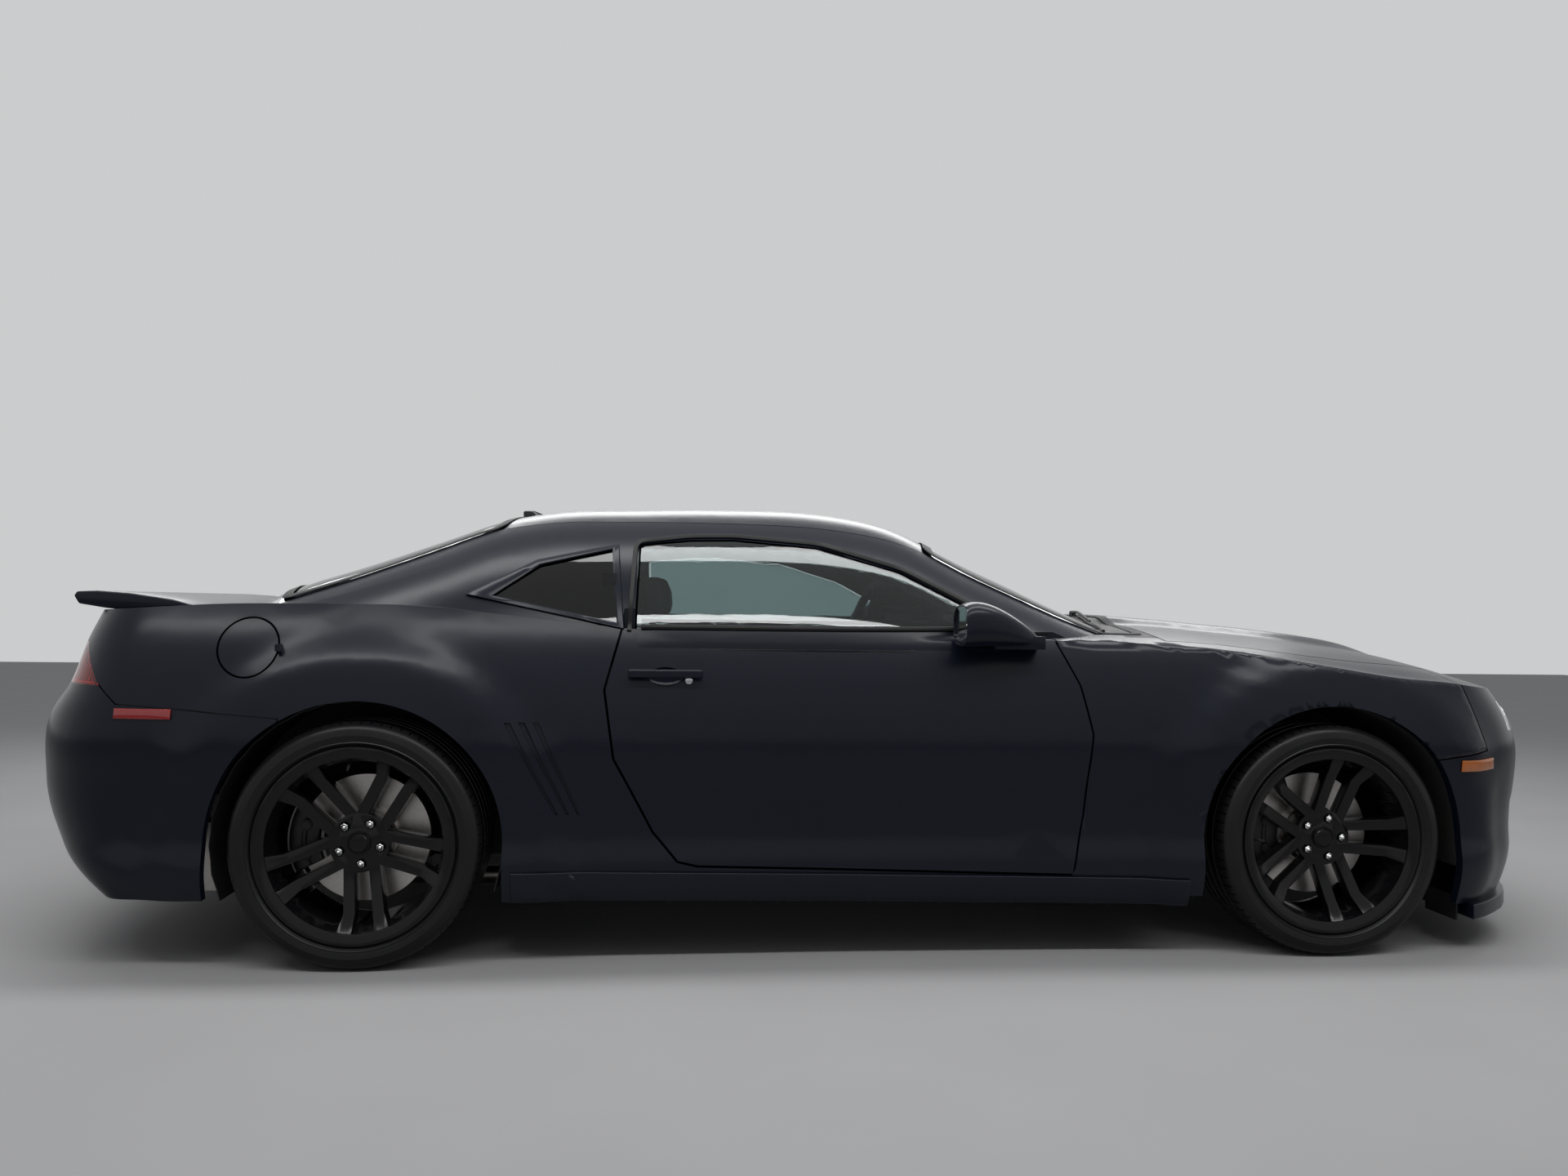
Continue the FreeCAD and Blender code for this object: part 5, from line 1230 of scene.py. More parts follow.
def puffed(piece, cap, voxel=0.008, pressure=4.0):
    """Lets a closed pad swell like stuffed leather, by no more than the cap."""
    modify(piece, "REMESH", mode="VOXEL", voxel_size=voxel)
    before = [v.co.copy() for v in piece.data.vertices]
    cloth = piece.modifiers.new("cloth", "CLOTH")
    cloth.settings.use_pressure = True
    cloth.settings.uniform_pressure_force = pressure
    cloth.settings.effector_weights.gravity = 0.0
    cloth.point_cache.frame_end = SIM_FRAMES
    for frame_number in range(1, SIM_FRAMES + 1):
        bpy.context.scene.frame_set(frame_number)
    alone(piece)
    bpy.ops.object.modifier_apply(modifier="cloth")
    bpy.context.scene.frame_set(1)
    for vertex, old in zip(piece.data.vertices, before):
        step = vertex.co - old
        if step.length > cap:
            vertex.co = old + step.normalized() * cap
    return piece


def pad(name, centre_y, half, spine, front, back, bolster=0.0, waist=0.0, cap=0.010, voxel=0.008,
        lines=(), channels=(), groove=0.0055):
    """One padded form: front and back are its thickness to each side of the spine."""
    piece = subdivided(start("cube", name, size=2), 11)
    for vertex in piece.data.vertices:
        u, v, w = vertex.co
        spot, facing = along(spine, (v + 1) / 2)
        edge = max(0.0, (abs(u) - 0.58) / 0.42)
        swell = bolster * math.sin(edge * math.pi / 2) if w > 0 else 0.0
        slim = (1 - 0.35 * max(0.0, abs(u) - 0.75) / 0.25) * (1 - 0.3 * max(0.0, abs(v) - 0.8) / 0.2)
        out = w * (front + swell if w > 0 else back) * slim
        wide = half * (1 - waist * (v + 1) / 2) * (1 - 0.05 * max(0.0, abs(v) - 0.8) / 0.2)
        vertex.co = (spot.x + facing.x * out, centre_y + u * wide, spot.y + facing.y * out)
    puffed(piece, cap, voxel)
    length = sum((Vector(b) - Vector(a)).length for a, b in zip(spine, spine[1:]))
    first, last = Vector(spine[0]), Vector(spine[-1])
    way = (last - first).normalized()
    facing = Vector((way.y, -way.x))
    normals = [v.normal.copy() for v in piece.data.vertices]
    for vertex, normal in zip(piece.data.vertices, normals):
        fore = normal.x * facing.x + normal.z * facing.y
        if fore < 0.15:
            continue
        share = (Vector((vertex.co.x, vertex.co.z)) - first).dot(way) / length
        side = abs(vertex.co.y - centre_y)
        wide = half * (1 - waist * share)
        press = max((math.exp(-((side - line * wide) / 0.0055) ** 2) for line in lines), default=0.0)
        if side < lines[0] * wide if lines else True:
            for channel in channels:
                press = max(press, 0.8 * math.exp(-((share - channel) * length / 0.0055) ** 2))
        vertex.co -= normal * groove * press
    modify(piece, "SUBSURF", levels=1, render_levels=1)
    return piece


# %% Front seats
BACK_SPINE = [(-0.428, 0.275), (-0.500, 0.560), (-0.540, 0.790), (-0.558, 0.975)]
CUSHION_SPINE = [(-0.325, 0.335), (-0.120, 0.345), (0.060, 0.368), (0.172, 0.372)]


SEAT_Y = -0.370
posts = joined("headrest_posts_right", [
    bar("post", [(x, SEAT_Y + y, z) for x, z in ((-0.562, 0.930), (-0.565, 0.990), (-0.569, 1.050))], 0.006, 12)
    for y in (-0.060, 0.060)])
both(posts, "body", "cast_metal", CHROME)
shell = block("seat_base_right", (-0.300, -0.560, 0.193), (0.130, -0.180, 0.290))
with editing(shell):
    select(lambda c, n: n.z > 0.9)
    bpy.ops.transform.resize(value=(1.08, 1.06, 1.0))
    bpy.ops.mesh.inset(thickness=0.030, depth=0.0)
    select(lambda c, n: n.y < -0.5)
    bpy.ops.mesh.inset(thickness=0.018, depth=-0.004)
both(bevelled(shell, 0.008, 3, 30), "body", "cabin_plastic")


def padded(piece):
    """Finishes a pad in leather."""
    done(piece, "body", "seat_leather", smooth=60)
    return piece


PADS = (("seat_back", SEAT_Y, 0.222, BACK_SPINE, 0.058, 0.056, 0.030, 0.22, 0.011, 0.008, (0.60, 0.88),
         (0.24, 0.42, 0.60, 0.78)),
        ("seat_cushion", SEAT_Y, 0.225, CUSHION_SPINE, 0.050, 0.050, 0.022, 0.0, 0.011, 0.008, (0.60, 0.88),
         (0.25, 0.5, 0.75)),
        ("headrest", SEAT_Y, 0.118, [(-0.562, 0.985), (-0.570, 1.112)], 0.052, 0.050, 0.0, 0.1, 0.007, 0.006,
         (0.80,), ()))
pads = [pad(name + "_right", *values) for name, *values in PADS]
for piece in pads:
    padded(piece)
    twin(piece)
    if "cushion" in piece.name:
        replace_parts(piece, "front_seats")
print("front seats", [len(p.data.polygons) for p in pads])

# %% Rear seat
REAR_CUSHION = [(-0.862, 0.405), (-0.772, 0.412), (-0.690, 0.420)]
REAR_BACK = [(-0.792, 0.500), (-0.832, 0.690), (-0.862, 0.880)]
rear = [pad("rear_cushion_right", -0.285, 0.262, REAR_CUSHION, 0.060, 0.060, 0.012, 0.0, 0.010, 0.009,
            (0.72,), (0.5,)),
        pad("rear_back_right", -0.285, 0.262, REAR_BACK, 0.040, 0.030, 0.014, 0.06, 0.009, 0.009,
            (0.72,), (0.3, 0.55, 0.8))]
for piece in rear:
    padded(piece)
    twin(piece)
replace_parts(rear[0], "rear_seat")
print("rear seat", [len(p.data.polygons) for p in rear])

# %% [markdown]
# ## Dashboard and steering wheel
#
# The dashboard solid is rounded like moulded skin. Its gauges, vents, screen and knobs are set on its
# face, which leans away from the driver, and each is turned or cut from its own primitive.

# %% Dashboard, gauges and vents
softened("dashboard", "dash_skin", "body", "cabin_plastic", 0.010, None, 3, 40, 50)
DASH_FACE = ((0.330, 0.700), (0.300, 0.960))


def dash_spot(y, z, out=0.0):
    """A place on the face of the dashboard, moved towards the seats."""
    (x0, z0), (x1, z1) = DASH_FACE
    x = x0 + (x1 - x0) * (z - z0) / (z1 - z0)
    return Vector((x - out, y, z))


FACE_WAY = Vector((-(DASH_FACE[1][1] - DASH_FACE[0][1]), 0, DASH_FACE[1][0] - DASH_FACE[0][0])).normalized()


def dial_face():
    """White marks round a black dial, on the face of each gauge."""
    material, shader, wire = finish("dial_face", Roughness=0.3, Coat_Weight=0.5)
    marks = wire.node("TexWave", {"wave_type": "RINGS", "rings_direction": "X"},
                      {"Vector": place(wire), "Scale": 14.0})
    feed(shader, shade(wire, (marks > 0.93) * 0.8, (0.006, 0.006, 0.007), (0.5, 0.52, 0.55)), "Base Color")
    return material


GAUGES = [(0.305, 0.895, 0.052), (0.435, 0.895, 0.052), (0.370, 0.838, 0.020)]
rims, faces, hands = [], [], []
for y, z, radius in GAUGES:
    at = dash_spot(y, z, 0.001)
    rims.append(turned("rim", [(radius * 0.92, 0.0), (radius * 0.93, 0.012), (radius, 0.020),
                               (radius * 1.10, 0.018), (radius * 1.14, -0.006)], at, FACE_WAY, 48))
    faces.append(turned("face", [(0.0, -0.002), (radius * 0.94, -0.002), (radius * 0.94, 0.005),
                                 (radius * 0.3, 0.006), (0.0, 0.006)], at, FACE_WAY, 40))
    hands.append(turned("hub", [(0.0, 0.004), (radius * 0.12, 0.004), (radius * 0.11, 0.011), (0.0, 0.012)], at,
                        FACE_WAY, 20))
    tip = at + FACE_WAY * 0.010 + Vector((0, radius * 0.5, radius * 0.55))
    hands.append(bar("hand", [at + FACE_WAY * 0.010, tip], 0.0012, 8))
done(joined("gauge_rims", rims), "body", "cabin_plastic", CHROME)
done(joined("gauge_faces", faces), "body", "cabin_plastic", dial_face())
done(joined("gauge_hands", hands), "body", "lamp_red", RED)
VENTS = [(-0.640, 0.860), (-0.170, 0.900), (0.170, 0.900), (0.655, 0.860)]
rings, slats = [], []
for y, z in VENTS:
    at = dash_spot(y, z, 0.001)
    rings.append(turned("ring", [(0.034, -0.004), (0.034, 0.006), (0.038, 0.011), (0.044, 0.010), (0.046, 0.0),
                                 (0.046, -0.004)], at, FACE_WAY, 40))
    for k in range(-3, 4):
        half = math.sqrt(0.034 ** 2 - (k * 0.009) ** 2)
        ends = [at + Vector((0, y, k * 0.009)) for y in (-half, half)]
        slats.append(bar("slat", ends, 0.0022, 8))
done(joined("vent_rings", rings), "body", "gloss_black")
done(joined("vent_slats", slats), "body", "cabin_plastic")
screen = block("dash_screen", (0.296, -0.105, 0.760), (0.330, 0.105, 0.878))
with editing(screen):
    select(lambda c, n: n.x < -0.9)
    bpy.ops.mesh.inset(thickness=0.008, depth=0.0)
    bpy.ops.transform.translate(value=(0.003, 0, 0))
bevelled(screen, 0.003, 2)
done(screen, "body", "gloss_black")
knobs = []
for y in (-0.075, 0.0, 0.075):
    knobs.append(turned("knob", [(0.0, 0.0), (0.0, 0.026), (0.017, 0.025), (0.019, 0.022), (0.020, 0.006),
                                 (0.025, 0.004), (0.026, -0.004), (0.0, -0.004)], dash_spot(y, 0.722, 0.0),
                        FACE_WAY, 32))
done(joined("dash_knobs", knobs), "body", "cabin_plastic", CHROME)
hood = subdivided(block("gauge_hood", (0.278, 0.205, 0.955), (0.470, 0.535, 1.020)), 4)
for vertex in hood.data.vertices:
    share = (vertex.co.y - 0.370) / 0.165
    vertex.co.z += (0.022 if vertex.co.z > 0.98 else 0.012) * (1 - share * share)
    vertex.co.x += 0.03 * share * share if vertex.co.x < 0.36 else 0
bevelled(hood, 0.006, 3, 40)
done(hood, "body", "cabin_plastic", smooth=50)
GLOVEBOX = [(-0.585, 0.725), (-0.215, 0.725), (-0.215, 0.835), (-0.585, 0.835)]
glove = strip("glovebox_seam", rounded_line(flat(GLOVEBOX), 0.02, 0.05), 0.004, 0.0015, dash_spot, (-1, 0, 0))
done(glove, "body", "gloss_black")
print("dashboard pieces", len(GAUGES), "gauges,", len(VENTS), "vents")

# %% Steering wheel
STEER_TILT = math.radians(22)
STEER_AT = Vector((0.240, 0.370, 0.960))
STEER = Matrix.Translation(STEER_AT) @ Matrix.Rotation(math.radians(90) + STEER_TILT, 4, "Y")


def steering():
    """A leather rim, a padded centre, three spokes with bright buttons."""
    rim = start("torus", "steering_rim", major_radius=0.175, minor_radius=0.0155, major_segments=72,
                minor_segments=16)
    for vertex in rim.data.vertices:
        turn = math.degrees(math.atan2(vertex.co.y, vertex.co.x)) % 360
        around_ring = Vector((vertex.co.x, vertex.co.y, 0)).normalized() * 0.175
        grip = 1.0 + 0.16 * sum(math.exp(-(((turn - spot + 180) % 360 - 180) / 16) ** 2) for spot in (120, 240))
        vertex.co = around_ring + (vertex.co - around_ring) * grip
    centre = turned("steering_pad", [(0.0, -0.042), (0.035, -0.041), (0.058, -0.034), (0.066, -0.022),
                                     (0.064, -0.004), (0.046, 0.010), (0.044, 0.040), (0.0, 0.042)],
                    (0, 0, 0), (0, 0, 1), 48)
    spokes = []
    for turn in (0, 90, 270):
        spoke_bar = block("spoke", (0.045, -0.020, -0.026), (0.168, 0.020, -0.010))
        with editing(spoke_bar):
            select(lambda c, n: n.x > 0.9)
            bpy.ops.transform.resize(value=(1.0, 0.62, 0.8))
            bpy.ops.transform.translate(value=(0, 0, 0.013))
            select(lambda c, n: n.z < -0.8)
            bpy.ops.mesh.inset(thickness=0.006, depth=0.002)
        bevelled(spoke_bar, 0.003, 2, 30)
        spoke_bar.data.transform(Matrix.Rotation(math.radians(turn), 4, "Z"))
        spokes.append(spoke_bar)
    for name, part, slot, material in (("steering_rim", rim, "cabin_plastic", LEATHER),
                                       ("steering_pad", centre, "cabin_plastic", None),
                                       ("steering_spokes", joined("steering_spokes", spokes), "cast_metal", None)):
        part.data.transform(STEER)
        done(part, "steering_wheel", slot, material, 50)
    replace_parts(rim, "steering_wheel")


LEATHER = FINISHES["seat_leather"]
steering()
print("steering wheel", len(MADE[-3].data.polygons), "faces on its rim")

# %% Console, shifter and armrest
boot = turned("shifter_boot", [(0.0, 0.0), (0.050, 0.0), (0.048, 0.010), (0.036, 0.022), (0.032, 0.034),
                               (0.021, 0.046), (0.018, 0.060), (0.009, 0.072), (0.0, 0.072)],
              (0.130, 0.0, 0.560), (0, 0, 1), 32)
done(boot, "body", "seat_leather")
stick = bar("shifter_stick", [(0.130, 0, 0.62), (0.128, 0, 0.66), (0.120, 0, 0.700)], 0.007, 12)
knob = turned("shifter_knob", [(0.0, -0.030), (0.014, -0.030), (0.022, -0.012), (0.026, 0.006), (0.022, 0.020),
                               (0.010, 0.027), (0.0, 0.028)], (0.118, 0.0, 0.722), (-0.1, 0, 1), 32)
done(joined("shifter", [stick, knob]), "body", "cast_metal", CHROME)
rest = pad("console_armrest", 0.0, 0.088, [(-0.335, 0.578), (-0.190, 0.580), (-0.050, 0.578)], 0.020, 0.018, 0.0,
           0.0, 0.006, 0.006, (0.86,), ())
padded(rest)
tray = block("console_top", (-0.030, -0.098, 0.558), (0.415, 0.098, 0.566))
with editing(tray):
    select(lambda c, n: n.z > 0.9)
    bpy.ops.mesh.inset(thickness=0.012, depth=0.0)
    bpy.ops.transform.translate(value=(0, 0, -0.004))
bevelled(tray, 0.0015, 2)
done(tray, "body", "gloss_black")
print("console pieces 5")

# %% [markdown]
# ## Doors, roof lining and the small things inside
#
# These show through the side glass and when a door is open: the door cards with their armrests, the roof
# lining, belts, the inner mirror, pedals and mats.

# %% Door cards
def card_spot(u, v):
    x = -0.575 + 1.105 * u + 0.05 * (1 - v) * (1 - u)
    swell = 0.018 * math.exp(-((v - 0.55) / 0.16) ** 2) + 0.006 * math.sin(math.pi * u)
    return x, -0.806 + swell, 0.300 + 0.615 * v


def door_card():
    """The moulded inner panel of the right door with its armrest, pull and latch."""
    card = sheet("door_card_right", 14, 9, card_spot, (0, 1, 0))
    modify(card, "SOLIDIFY", thickness=0.008, offset=-1.0)
    modify(card, "SUBSURF", levels=1, render_levels=1)
    arm_rest = subdivided(block("door_armrest_right", (-0.430, -0.800, 0.615), (0.200, -0.742, 0.668)), 3)
    for vertex in arm_rest.data.vertices:
        share = (vertex.co.x + 0.115) / 0.315
        vertex.co.z += 0.020 * share * share * (1 if share > 0 else 0.3)
        vertex.co.y = min(vertex.co.y, -0.742 - 0.030 * abs(share) ** 3)
    bevelled(arm_rest, 0.012, 3, 40)
    pull = bar("door_pull_right", [(0.300, -0.800, 0.700), (0.290, -0.762, 0.715), (0.240, -0.758, 0.760),
                                   (0.190, -0.762, 0.800), (0.185, -0.800, 0.815)], 0.011, 12)
    speaker = turned("door_speaker_right", [(0.0, 0.0), (0.0, 0.012), (0.070, 0.010), (0.076, 0.014),
                                            (0.082, 0.012), (0.084, 0.0)], (0.330, -0.803, 0.420), (0, 1, 0), 40)
    latch = block("door_latch_right", (0.115, -0.792, 0.760), (0.165, -0.782, 0.840))
    bevelled(latch, 0.003, 2)
    for piece, slot, material, smooth in ((card, "cabin_plastic", None, 50), (arm_rest, "seat_leather", None, 50),
                                          (pull, "cast_metal", CHROME, 35), (speaker, "black_plastic", None, 35),
                                          (latch, "cast_metal", CHROME, 35)):
        done(piece, "door_right", slot, material, smooth)
    for piece in (card, arm_rest, pull, speaker, latch):
        twin(piece, "door_left")


door_card()
print("door cards 2")

# %% Roof lining, visors, inner mirror and belts
CEILING = skin_of(["roof_panel"])
UP = Vector((0, 0, 1))


def under_roof(x, y, otherwise):
    """The height of the roof's underside, or another height where there is none."""
    hit = CEILING.ray_cast(Vector((x, y, 0.95)), UP)[0]
    return hit.z if hit else otherwise


def lining_spot(u, v):
    x, y = -0.955 + 1.215 * u, 0.940 * (v - 0.5)
    return x, y, under_roof(x, y, 1.246) - 0.006


LINING = grained_plastic("woven_lining", (0.016, 0.016, 0.017), (0.028, 0.028, 0.030), 0.78, 900.0, 0.0002)
lining = modify(sheet("roof_lining", 24, 18, lining_spot), "SOLIDIFY", thickness=0.004, offset=0.0)
done(lining, "body", "cabin_plastic", LINING, 60)
RAIL_LINE = flat([(-1.10, 1.090), (-0.899, 1.144), (-0.688, 1.198), (-0.617, 1.222), (-0.450, 1.243),
                  (-0.315, 1.246), (-0.055, 1.225), (0.197, 1.151), (0.402, 1.045), (0.585, 0.957)])
RAILS = skin_of(["roof_panel", "body_side_right"])


def rail_spot(u, v):
    """A place under the roof rail and the pillar, from the door's opening inwards."""
    x = -1.060 + 1.560 * u
    rim = next(a.y + (b.y - a.y) * (x - a.x) / (b.x - a.x)
               for a, b in zip(RAIL_LINE, RAIL_LINE[1:]) if x <= b.x)
    y = RAILS.ray_cast(Vector((x, STREET, rim + 0.012)), Vector((0, 1, 0)))[0].y + 0.012 + 0.105 * v
    hit = RAILS.ray_cast(Vector((x, y, rim - 0.090)), UP)[0]
    return x, y, (hit.z if hit and hit.z - rim < 0.06 else rim + 0.030) - 0.004


trim = modify(sheet("rail_trim_right", 44, 6, rail_spot), "SOLIDIFY", thickness=0.003, offset=0.0)
both(trim, "body", "cabin_plastic", LINING, 60)
for side, y in (("right", -0.300), ("left", 0.300)):
    z = under_roof(0.150, y, 1.26) - 0.030
    visor = block("sun_visor_" + side, (0.075, y - 0.150, z - 0.009), (0.215, y + 0.150, z + 0.009))
    with editing(visor):
        take_all()
        bpy.ops.transform.rotate(value=math.radians(-12), orient_axis="Y", center_override=(0.15, y, z))
    bevelled(visor, 0.008, 3, 40)
    done(visor, "body", "cabin_plastic", smooth=50)
mirror_case = block("inner_mirror", (0.330, -0.115, 1.165), (0.362, 0.115, 1.225))
with editing(mirror_case):
    select(lambda c, n: n.x > 0.9)
    bpy.ops.transform.resize(value=(1.0, 0.86, 0.75))
bevelled(mirror_case, 0.010, 3, 40)
stalk = bar("stalk", [(0.360, 0, 1.195), (0.378, 0, 1.215), (0.385, 0, 1.245)], 0.008, 8)
done(joined("inner_mirror", [mirror_case, stalk]), "body", "black_plastic", smooth=50)
glass = block("inner_mirror_glass", (0.3275, -0.104, 1.172), (0.3305, 0.104, 1.218))
bevelled(glass, 0.001, 1)
done(glass, "body", "glass", SILVER)
belt_path = [(-0.690, -0.770, 1.120), (-0.680, -0.772, 0.900), (-0.665, -0.775, 0.600), (-0.650, -0.778, 0.320)]
strap = bar("seat_belt_right", belt_path, 0.022, 8)
for vertex in strap.data.vertices:
    vertex.co.y = -0.772 + (vertex.co.y + 0.772) * 0.06
both(strap, "body", "cabin_plastic")
print("lining, visors, mirror and belts")

# %% Pedals and mats
for name, y, wide in (("pedal_brake", 0.390, 0.042), ("pedal_throttle", 0.290, 0.026)):
    foot_pad = block(name, (0.700, y - wide, 0.310), (0.712, y + wide, 0.380 if wide > 0.03 else 0.440))
    with editing(foot_pad):
        select(lambda c, n: n.x < -0.9)
        bpy.ops.mesh.inset(thickness=0.006, depth=0.003)
    bevelled(foot_pad, 0.002, 2)
    lever = bar("lever", [(0.712, y, 0.360), (0.740, y, 0.420), (0.745, y, 0.560)], 0.007, 8)
    done(joined(name, [foot_pad, lever]), "body", "cast_metal")
mat = sheet("floor_mat_right", 10, 8, lambda u, v: (
    0.215 + 0.440 * u, -0.400 + (v - 0.5) * 0.420 * (1 - 0.12 * u), 0.1925 + 0.012 * max(0.0, u - 0.8)))
modify(mat, "SOLIDIFY", thickness=0.008, offset=1.0)
both(bevelled(mat, 0.002, 2), "body", "cabin_plastic", RUBBER)
print("pedals and mats")

# %% [markdown]
# ## What the lids and doors show when open
#
# Under the hood lie the engine cover with its ribs, the battery, the coolant and washer bottles, the
# intake pipe, hoses and the radiator's top. They stand clear of the front tyres at full lock.

# %% Engine bay
cover = block("engine_cover", (1.180, -0.270, 0.800), (1.860, 0.270, 0.862))
with editing(cover):
    select(lambda c, n: n.z > 0.9)
    bpy.ops.transform.resize(value=(0.95, 0.86, 1.0))
    bpy.ops.mesh.inset(thickness=0.030, depth=0.0)
    bpy.ops.transform.translate(value=(0, 0, -0.006))
bevelled(cover, 0.010, 3, 30)
ribs = []
for k in range(-3, 4):
    rib = block("rib", (1.260, k * 0.052 - 0.008, 0.852), (1.780, k * 0.052 + 0.008, 0.866))
    bevelled(rib, 0.003, 2)
    ribs.append(rib)
done(joined("engine_cover", [cover] + ribs), "body", "black_plastic", smooth=40)
battery = block("battery", (1.140, -0.610, 0.680), (1.310, -0.430, 0.820))
with editing(battery):
    select(lambda c, n: n.z > 0.9)
    bpy.ops.mesh.inset(thickness=0.010, depth=0.004)
bevelled(battery, 0.004, 2)
posts = [turned("post", [(0.0, -0.004), (0.011, -0.004), (0.0105, 0.016), (0.009, 0.018), (0.0, 0.018)],
                (1.180, y, 0.824), (0, 0, 1), 20) for y in (-0.575, -0.465)]
done(battery, "body", "black_plastic", smooth=40)
done(joined("battery_posts", posts), "body", "cast_metal")
BOTTLES = (("coolant_bottle", (1.150, 0.420, 0.690), (1.310, 0.590, 0.810), "lamp_clear"),
           ("washer_bottle", (1.700, 0.400, 0.560), (1.820, 0.540, 0.700), "lamp_clear"),
           ("fuse_box", (1.380, -0.600, 0.730), (1.540, -0.460, 0.810), "black_plastic"))
for name, low, high, slot in BOTTLES:
    bottle = block(name, low, high)
    with editing(bottle):
        select(lambda c, n: n.z > 0.9)
        bpy.ops.transform.resize(value=(0.86, 0.86, 1.0))
    bevelled(bottle, 0.014, 3, 30)
    middle = (Vector(low) + Vector(high)) / 2
    lid = turned("lid", [(0.0, -0.006), (0.026, -0.006), (0.027, 0.010), (0.024, 0.014), (0.0, 0.014)],
                 (middle.x, middle.y, high[2]), (0, 0, 1), 24)
    done(bottle, "body", slot, FINISHES["cabin_plastic"] if slot != "lamp_clear" else BAR_PALE, 50)
    lid.name = name + "_cap"
    done(lid, "body", "black_plastic")
radiator = block("radiator_top", (1.905, -0.380, 0.600), (1.950, 0.380, 0.680))
bevelled(radiator, 0.006, 2)
done(radiator, "body", "black_plastic")
HOSES = (("intake_pipe", [(1.880, 0.150, 0.700), (1.900, 0.240, 0.720), (1.860, 0.360, 0.715),
                          (1.760, 0.390, 0.700), (1.640, 0.390, 0.690)], 0.032),
         ("radiator_hose", [(1.900, -0.300, 0.690), (1.860, -0.330, 0.720), (1.780, -0.340, 0.700),
                            (1.700, -0.330, 0.660), (1.640, -0.290, 0.640)], 0.018),
         ("heater_hose", [(1.120, 0.200, 0.700), (1.110, 0.330, 0.740), (1.150, 0.380, 0.720),
                          (1.200, 0.410, 0.690)], 0.011))
for name, line, radius in HOSES:
    done(bar(name, line, radius, 16), "body", "black_plastic", RUBBER)
print("engine bay pieces 11")

# %% Cargo mat
mat = sheet("cargo_mat", 12, 8, lambda u, v: (-2.060 + 0.560 * u, v - 0.5, 0.503))
modify(mat, "SOLIDIFY", thickness=0.008, offset=1.0)
done(bevelled(mat, 0.002, 2), "body", "cabin_plastic")
print("trunk mat")

# %% [markdown]
# ## Last details of the outside
#
# The locks under the door handles, the liners of the rear wheel houses, the deflectors ahead of the front
# wheels, and the panels whose edges are rolled.

# %% Door locks
lock = land((-0.452, BOX_LOW[1] - 0.2, 0.812), (0, 1, 0), skin_of(["door_right"]), 0)
lock = turned("door_lock_right", [(0.0, -0.002), (0.0105, -0.002), (0.0105, 0.0022), (0.009, 0.003),
                                  (0.004, 0.003), (0.0035, 0.0015), (0.0, 0.0015)], lock, (0, -1, 0), 28)
both(lock, "door_right", "cast_metal", CHROME)
print("door locks 2")

# %% Wheel-well liners and air deflectors
LINER_RADIUS, LINER_FROM, LINER_TO = 0.4005, -20, 203


def liner_spot(u, v):
    """A place on a rippled arc inside the rear wheel arch."""
    angle = math.radians(LINER_FROM + (LINER_TO - LINER_FROM) * u)
    radius = LINER_RADIUS + 0.0015 * math.cos(u * 40 * math.pi)
    return AXLES["rear"] + radius * math.cos(angle), -0.895 + 0.255 * v, HUB_HEIGHT + radius * math.sin(angle)


liner = sheet("wheel_liner_right", 40, 4, liner_spot)
with editing(liner):
    take_all()
    bpy.ops.mesh.normals_make_consistent(inside=False)
modify(liner, "SOLIDIFY", thickness=0.003, offset=0.0)
both(liner, "body", "black_plastic", smooth=50)
tab = bevelled(block("air_deflector_right", (1.906, -0.880, 0.092), (1.914, -0.730, 0.165)), 0.002, 2)
both(tab, "body", "black_plastic", RUBBER)
print("liners and deflectors")

# %% Panels whose edges are rolled
for node, name, width in (("spoiler", "spoiler_skin", 0.005), ("splitter", "splitter_skin", 0.005),
                          ("side_skirts", "skirt_skin", 0.004)):
    softened(node, name, "body", "body_paint", width, None, 3, 30, 35)
for side in ("right", "left"):
    softened("mirror_" + side, "mirror_skin_" + side, "door_" + side, "body_paint", 0.004, None, 3, 35, 40)
print("rolled panels 5")

# %% [markdown]
# ## Floor and light
#
# The floor is plain and pale. Dark satin paint shows its shape by its highlights alone, so the light of the
# room is dim near the floor, and three long soft boxes hang over the car as the light rails of a showroom
# do: one above the roof, one in front that draws the haunches, and one behind that lights the edge of the
# roof. The camera, glass and metal see one pale backdrop in place of the dim room.

# %% The stage
def studio_grey():
    material, shader, wire = finish("studio_grey", Roughness=0.75)
    drift = noise(wire, 2.0)
    feed(shader, shade(wire, drift, (0.38, 0.38, 0.385), (0.42, 0.42, 0.425)), "Base Color")
    return material


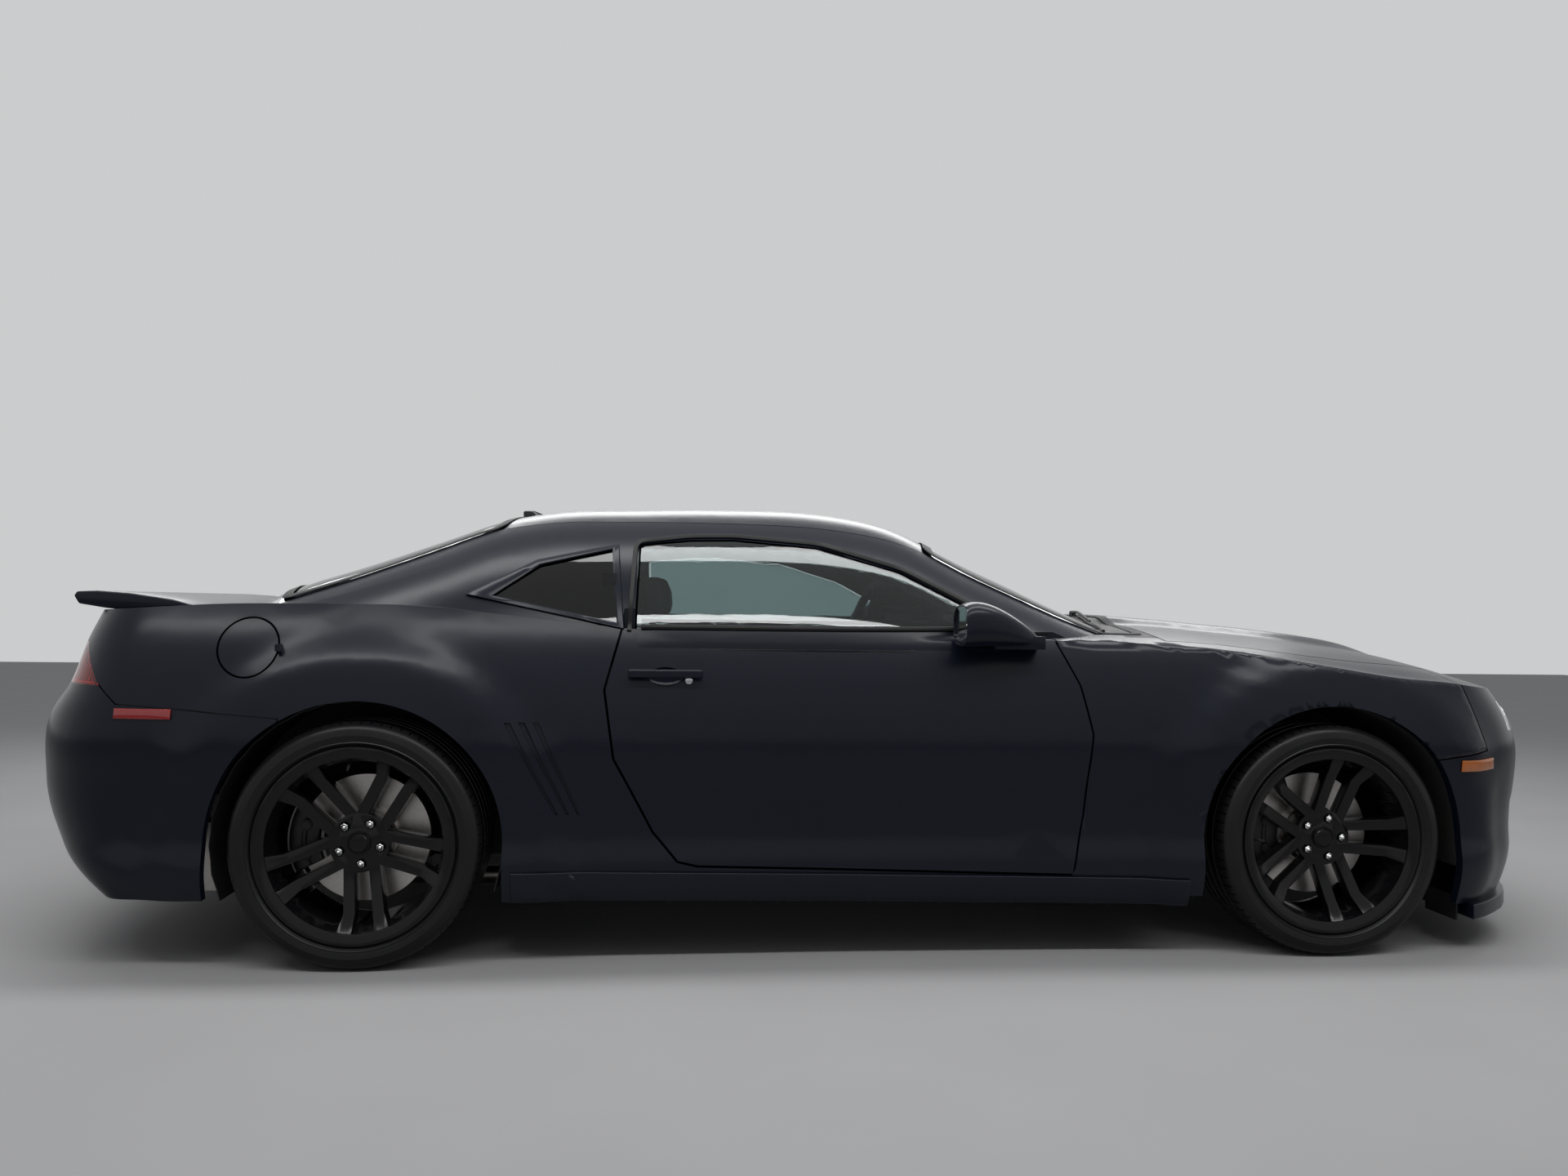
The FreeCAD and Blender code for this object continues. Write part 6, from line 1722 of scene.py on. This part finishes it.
bpy.ops.object.select_all(action="DESELECT")
FLOOR = 30.0
bpy.ops.mesh.primitive_plane_add(size=FLOOR, location=(0.0, 0.0, 0.0))
floor = bpy.context.object
floor.name = "studio_floor"
floor.data.materials.append(studio_grey())

world = bpy.data.worlds.new("studio")
bpy.context.scene.world = world
world.use_nodes = True
sky = Wire(world.node_tree)
ray = world.node_tree.nodes.new("ShaderNodeLightPath")
seen = Wire(world.node_tree, ray.outputs["Is Camera Ray"])
for kind in ("Is Glossy Ray", "Is Transmission Ray"):
    seen = sky.math("MAXIMUM", seen, Wire(world.node_tree, ray.outputs[kind]))
backdrop = world.node_tree.nodes["Background"]
dome = world.node_tree.nodes.new("ShaderNodeSeparateXYZ")
world.node_tree.links.new(sky.node("TexCoord", out="Generated").socket, dome.inputs[0])
height = sky.math("MAXIMUM", Wire(world.node_tree, dome.outputs[2]), 0.0)
ROOM_LOW, ROOM_HIGH, BACKDROP = (0.05, 0.0505, 0.052), (0.32, 0.323, 0.33), (0.60, 0.605, 0.61)
room = shade(sky, height, ROOM_LOW, ROOM_HIGH)
colour = sky.node("Mix", {"data_type": "RGBA"}, {0: seen, 6: room, 7: (*BACKDROP, 1)}, out=2)
world.node_tree.links.new(colour.socket, backdrop.inputs["Color"])


SOFT_BOXES = (("ceiling_box", (0.0, -0.4, 3.6), (0.0, 0.0, 0.7), (7.0, 0.6), 90.0),
              ("near_rail", (0.0, -2.6, 3.3), (0.0, -0.9, 0.8), (7.0, 0.25), 75.0),
              ("far_rail", (0.0, 4.0, 3.2), (0.0, 0.0, 1.0), (9.0, 0.8), 110.0))
for name, centre, target, size, watts in SOFT_BOXES:
    lamp = bpy.data.lights.new(name, "AREA")
    lamp.shape = "RECTANGLE"
    lamp.size, lamp.size_y = size
    lamp.energy = watts
    box = bpy.data.objects.new(name, lamp)
    bpy.context.scene.collection.objects.link(box)
    box.location = centre
    box.rotation_euler = (Vector(target) - Vector(centre)).to_track_quat("-Z", "Y").to_euler()

bpy.context.scene.view_settings.view_transform = "Standard"
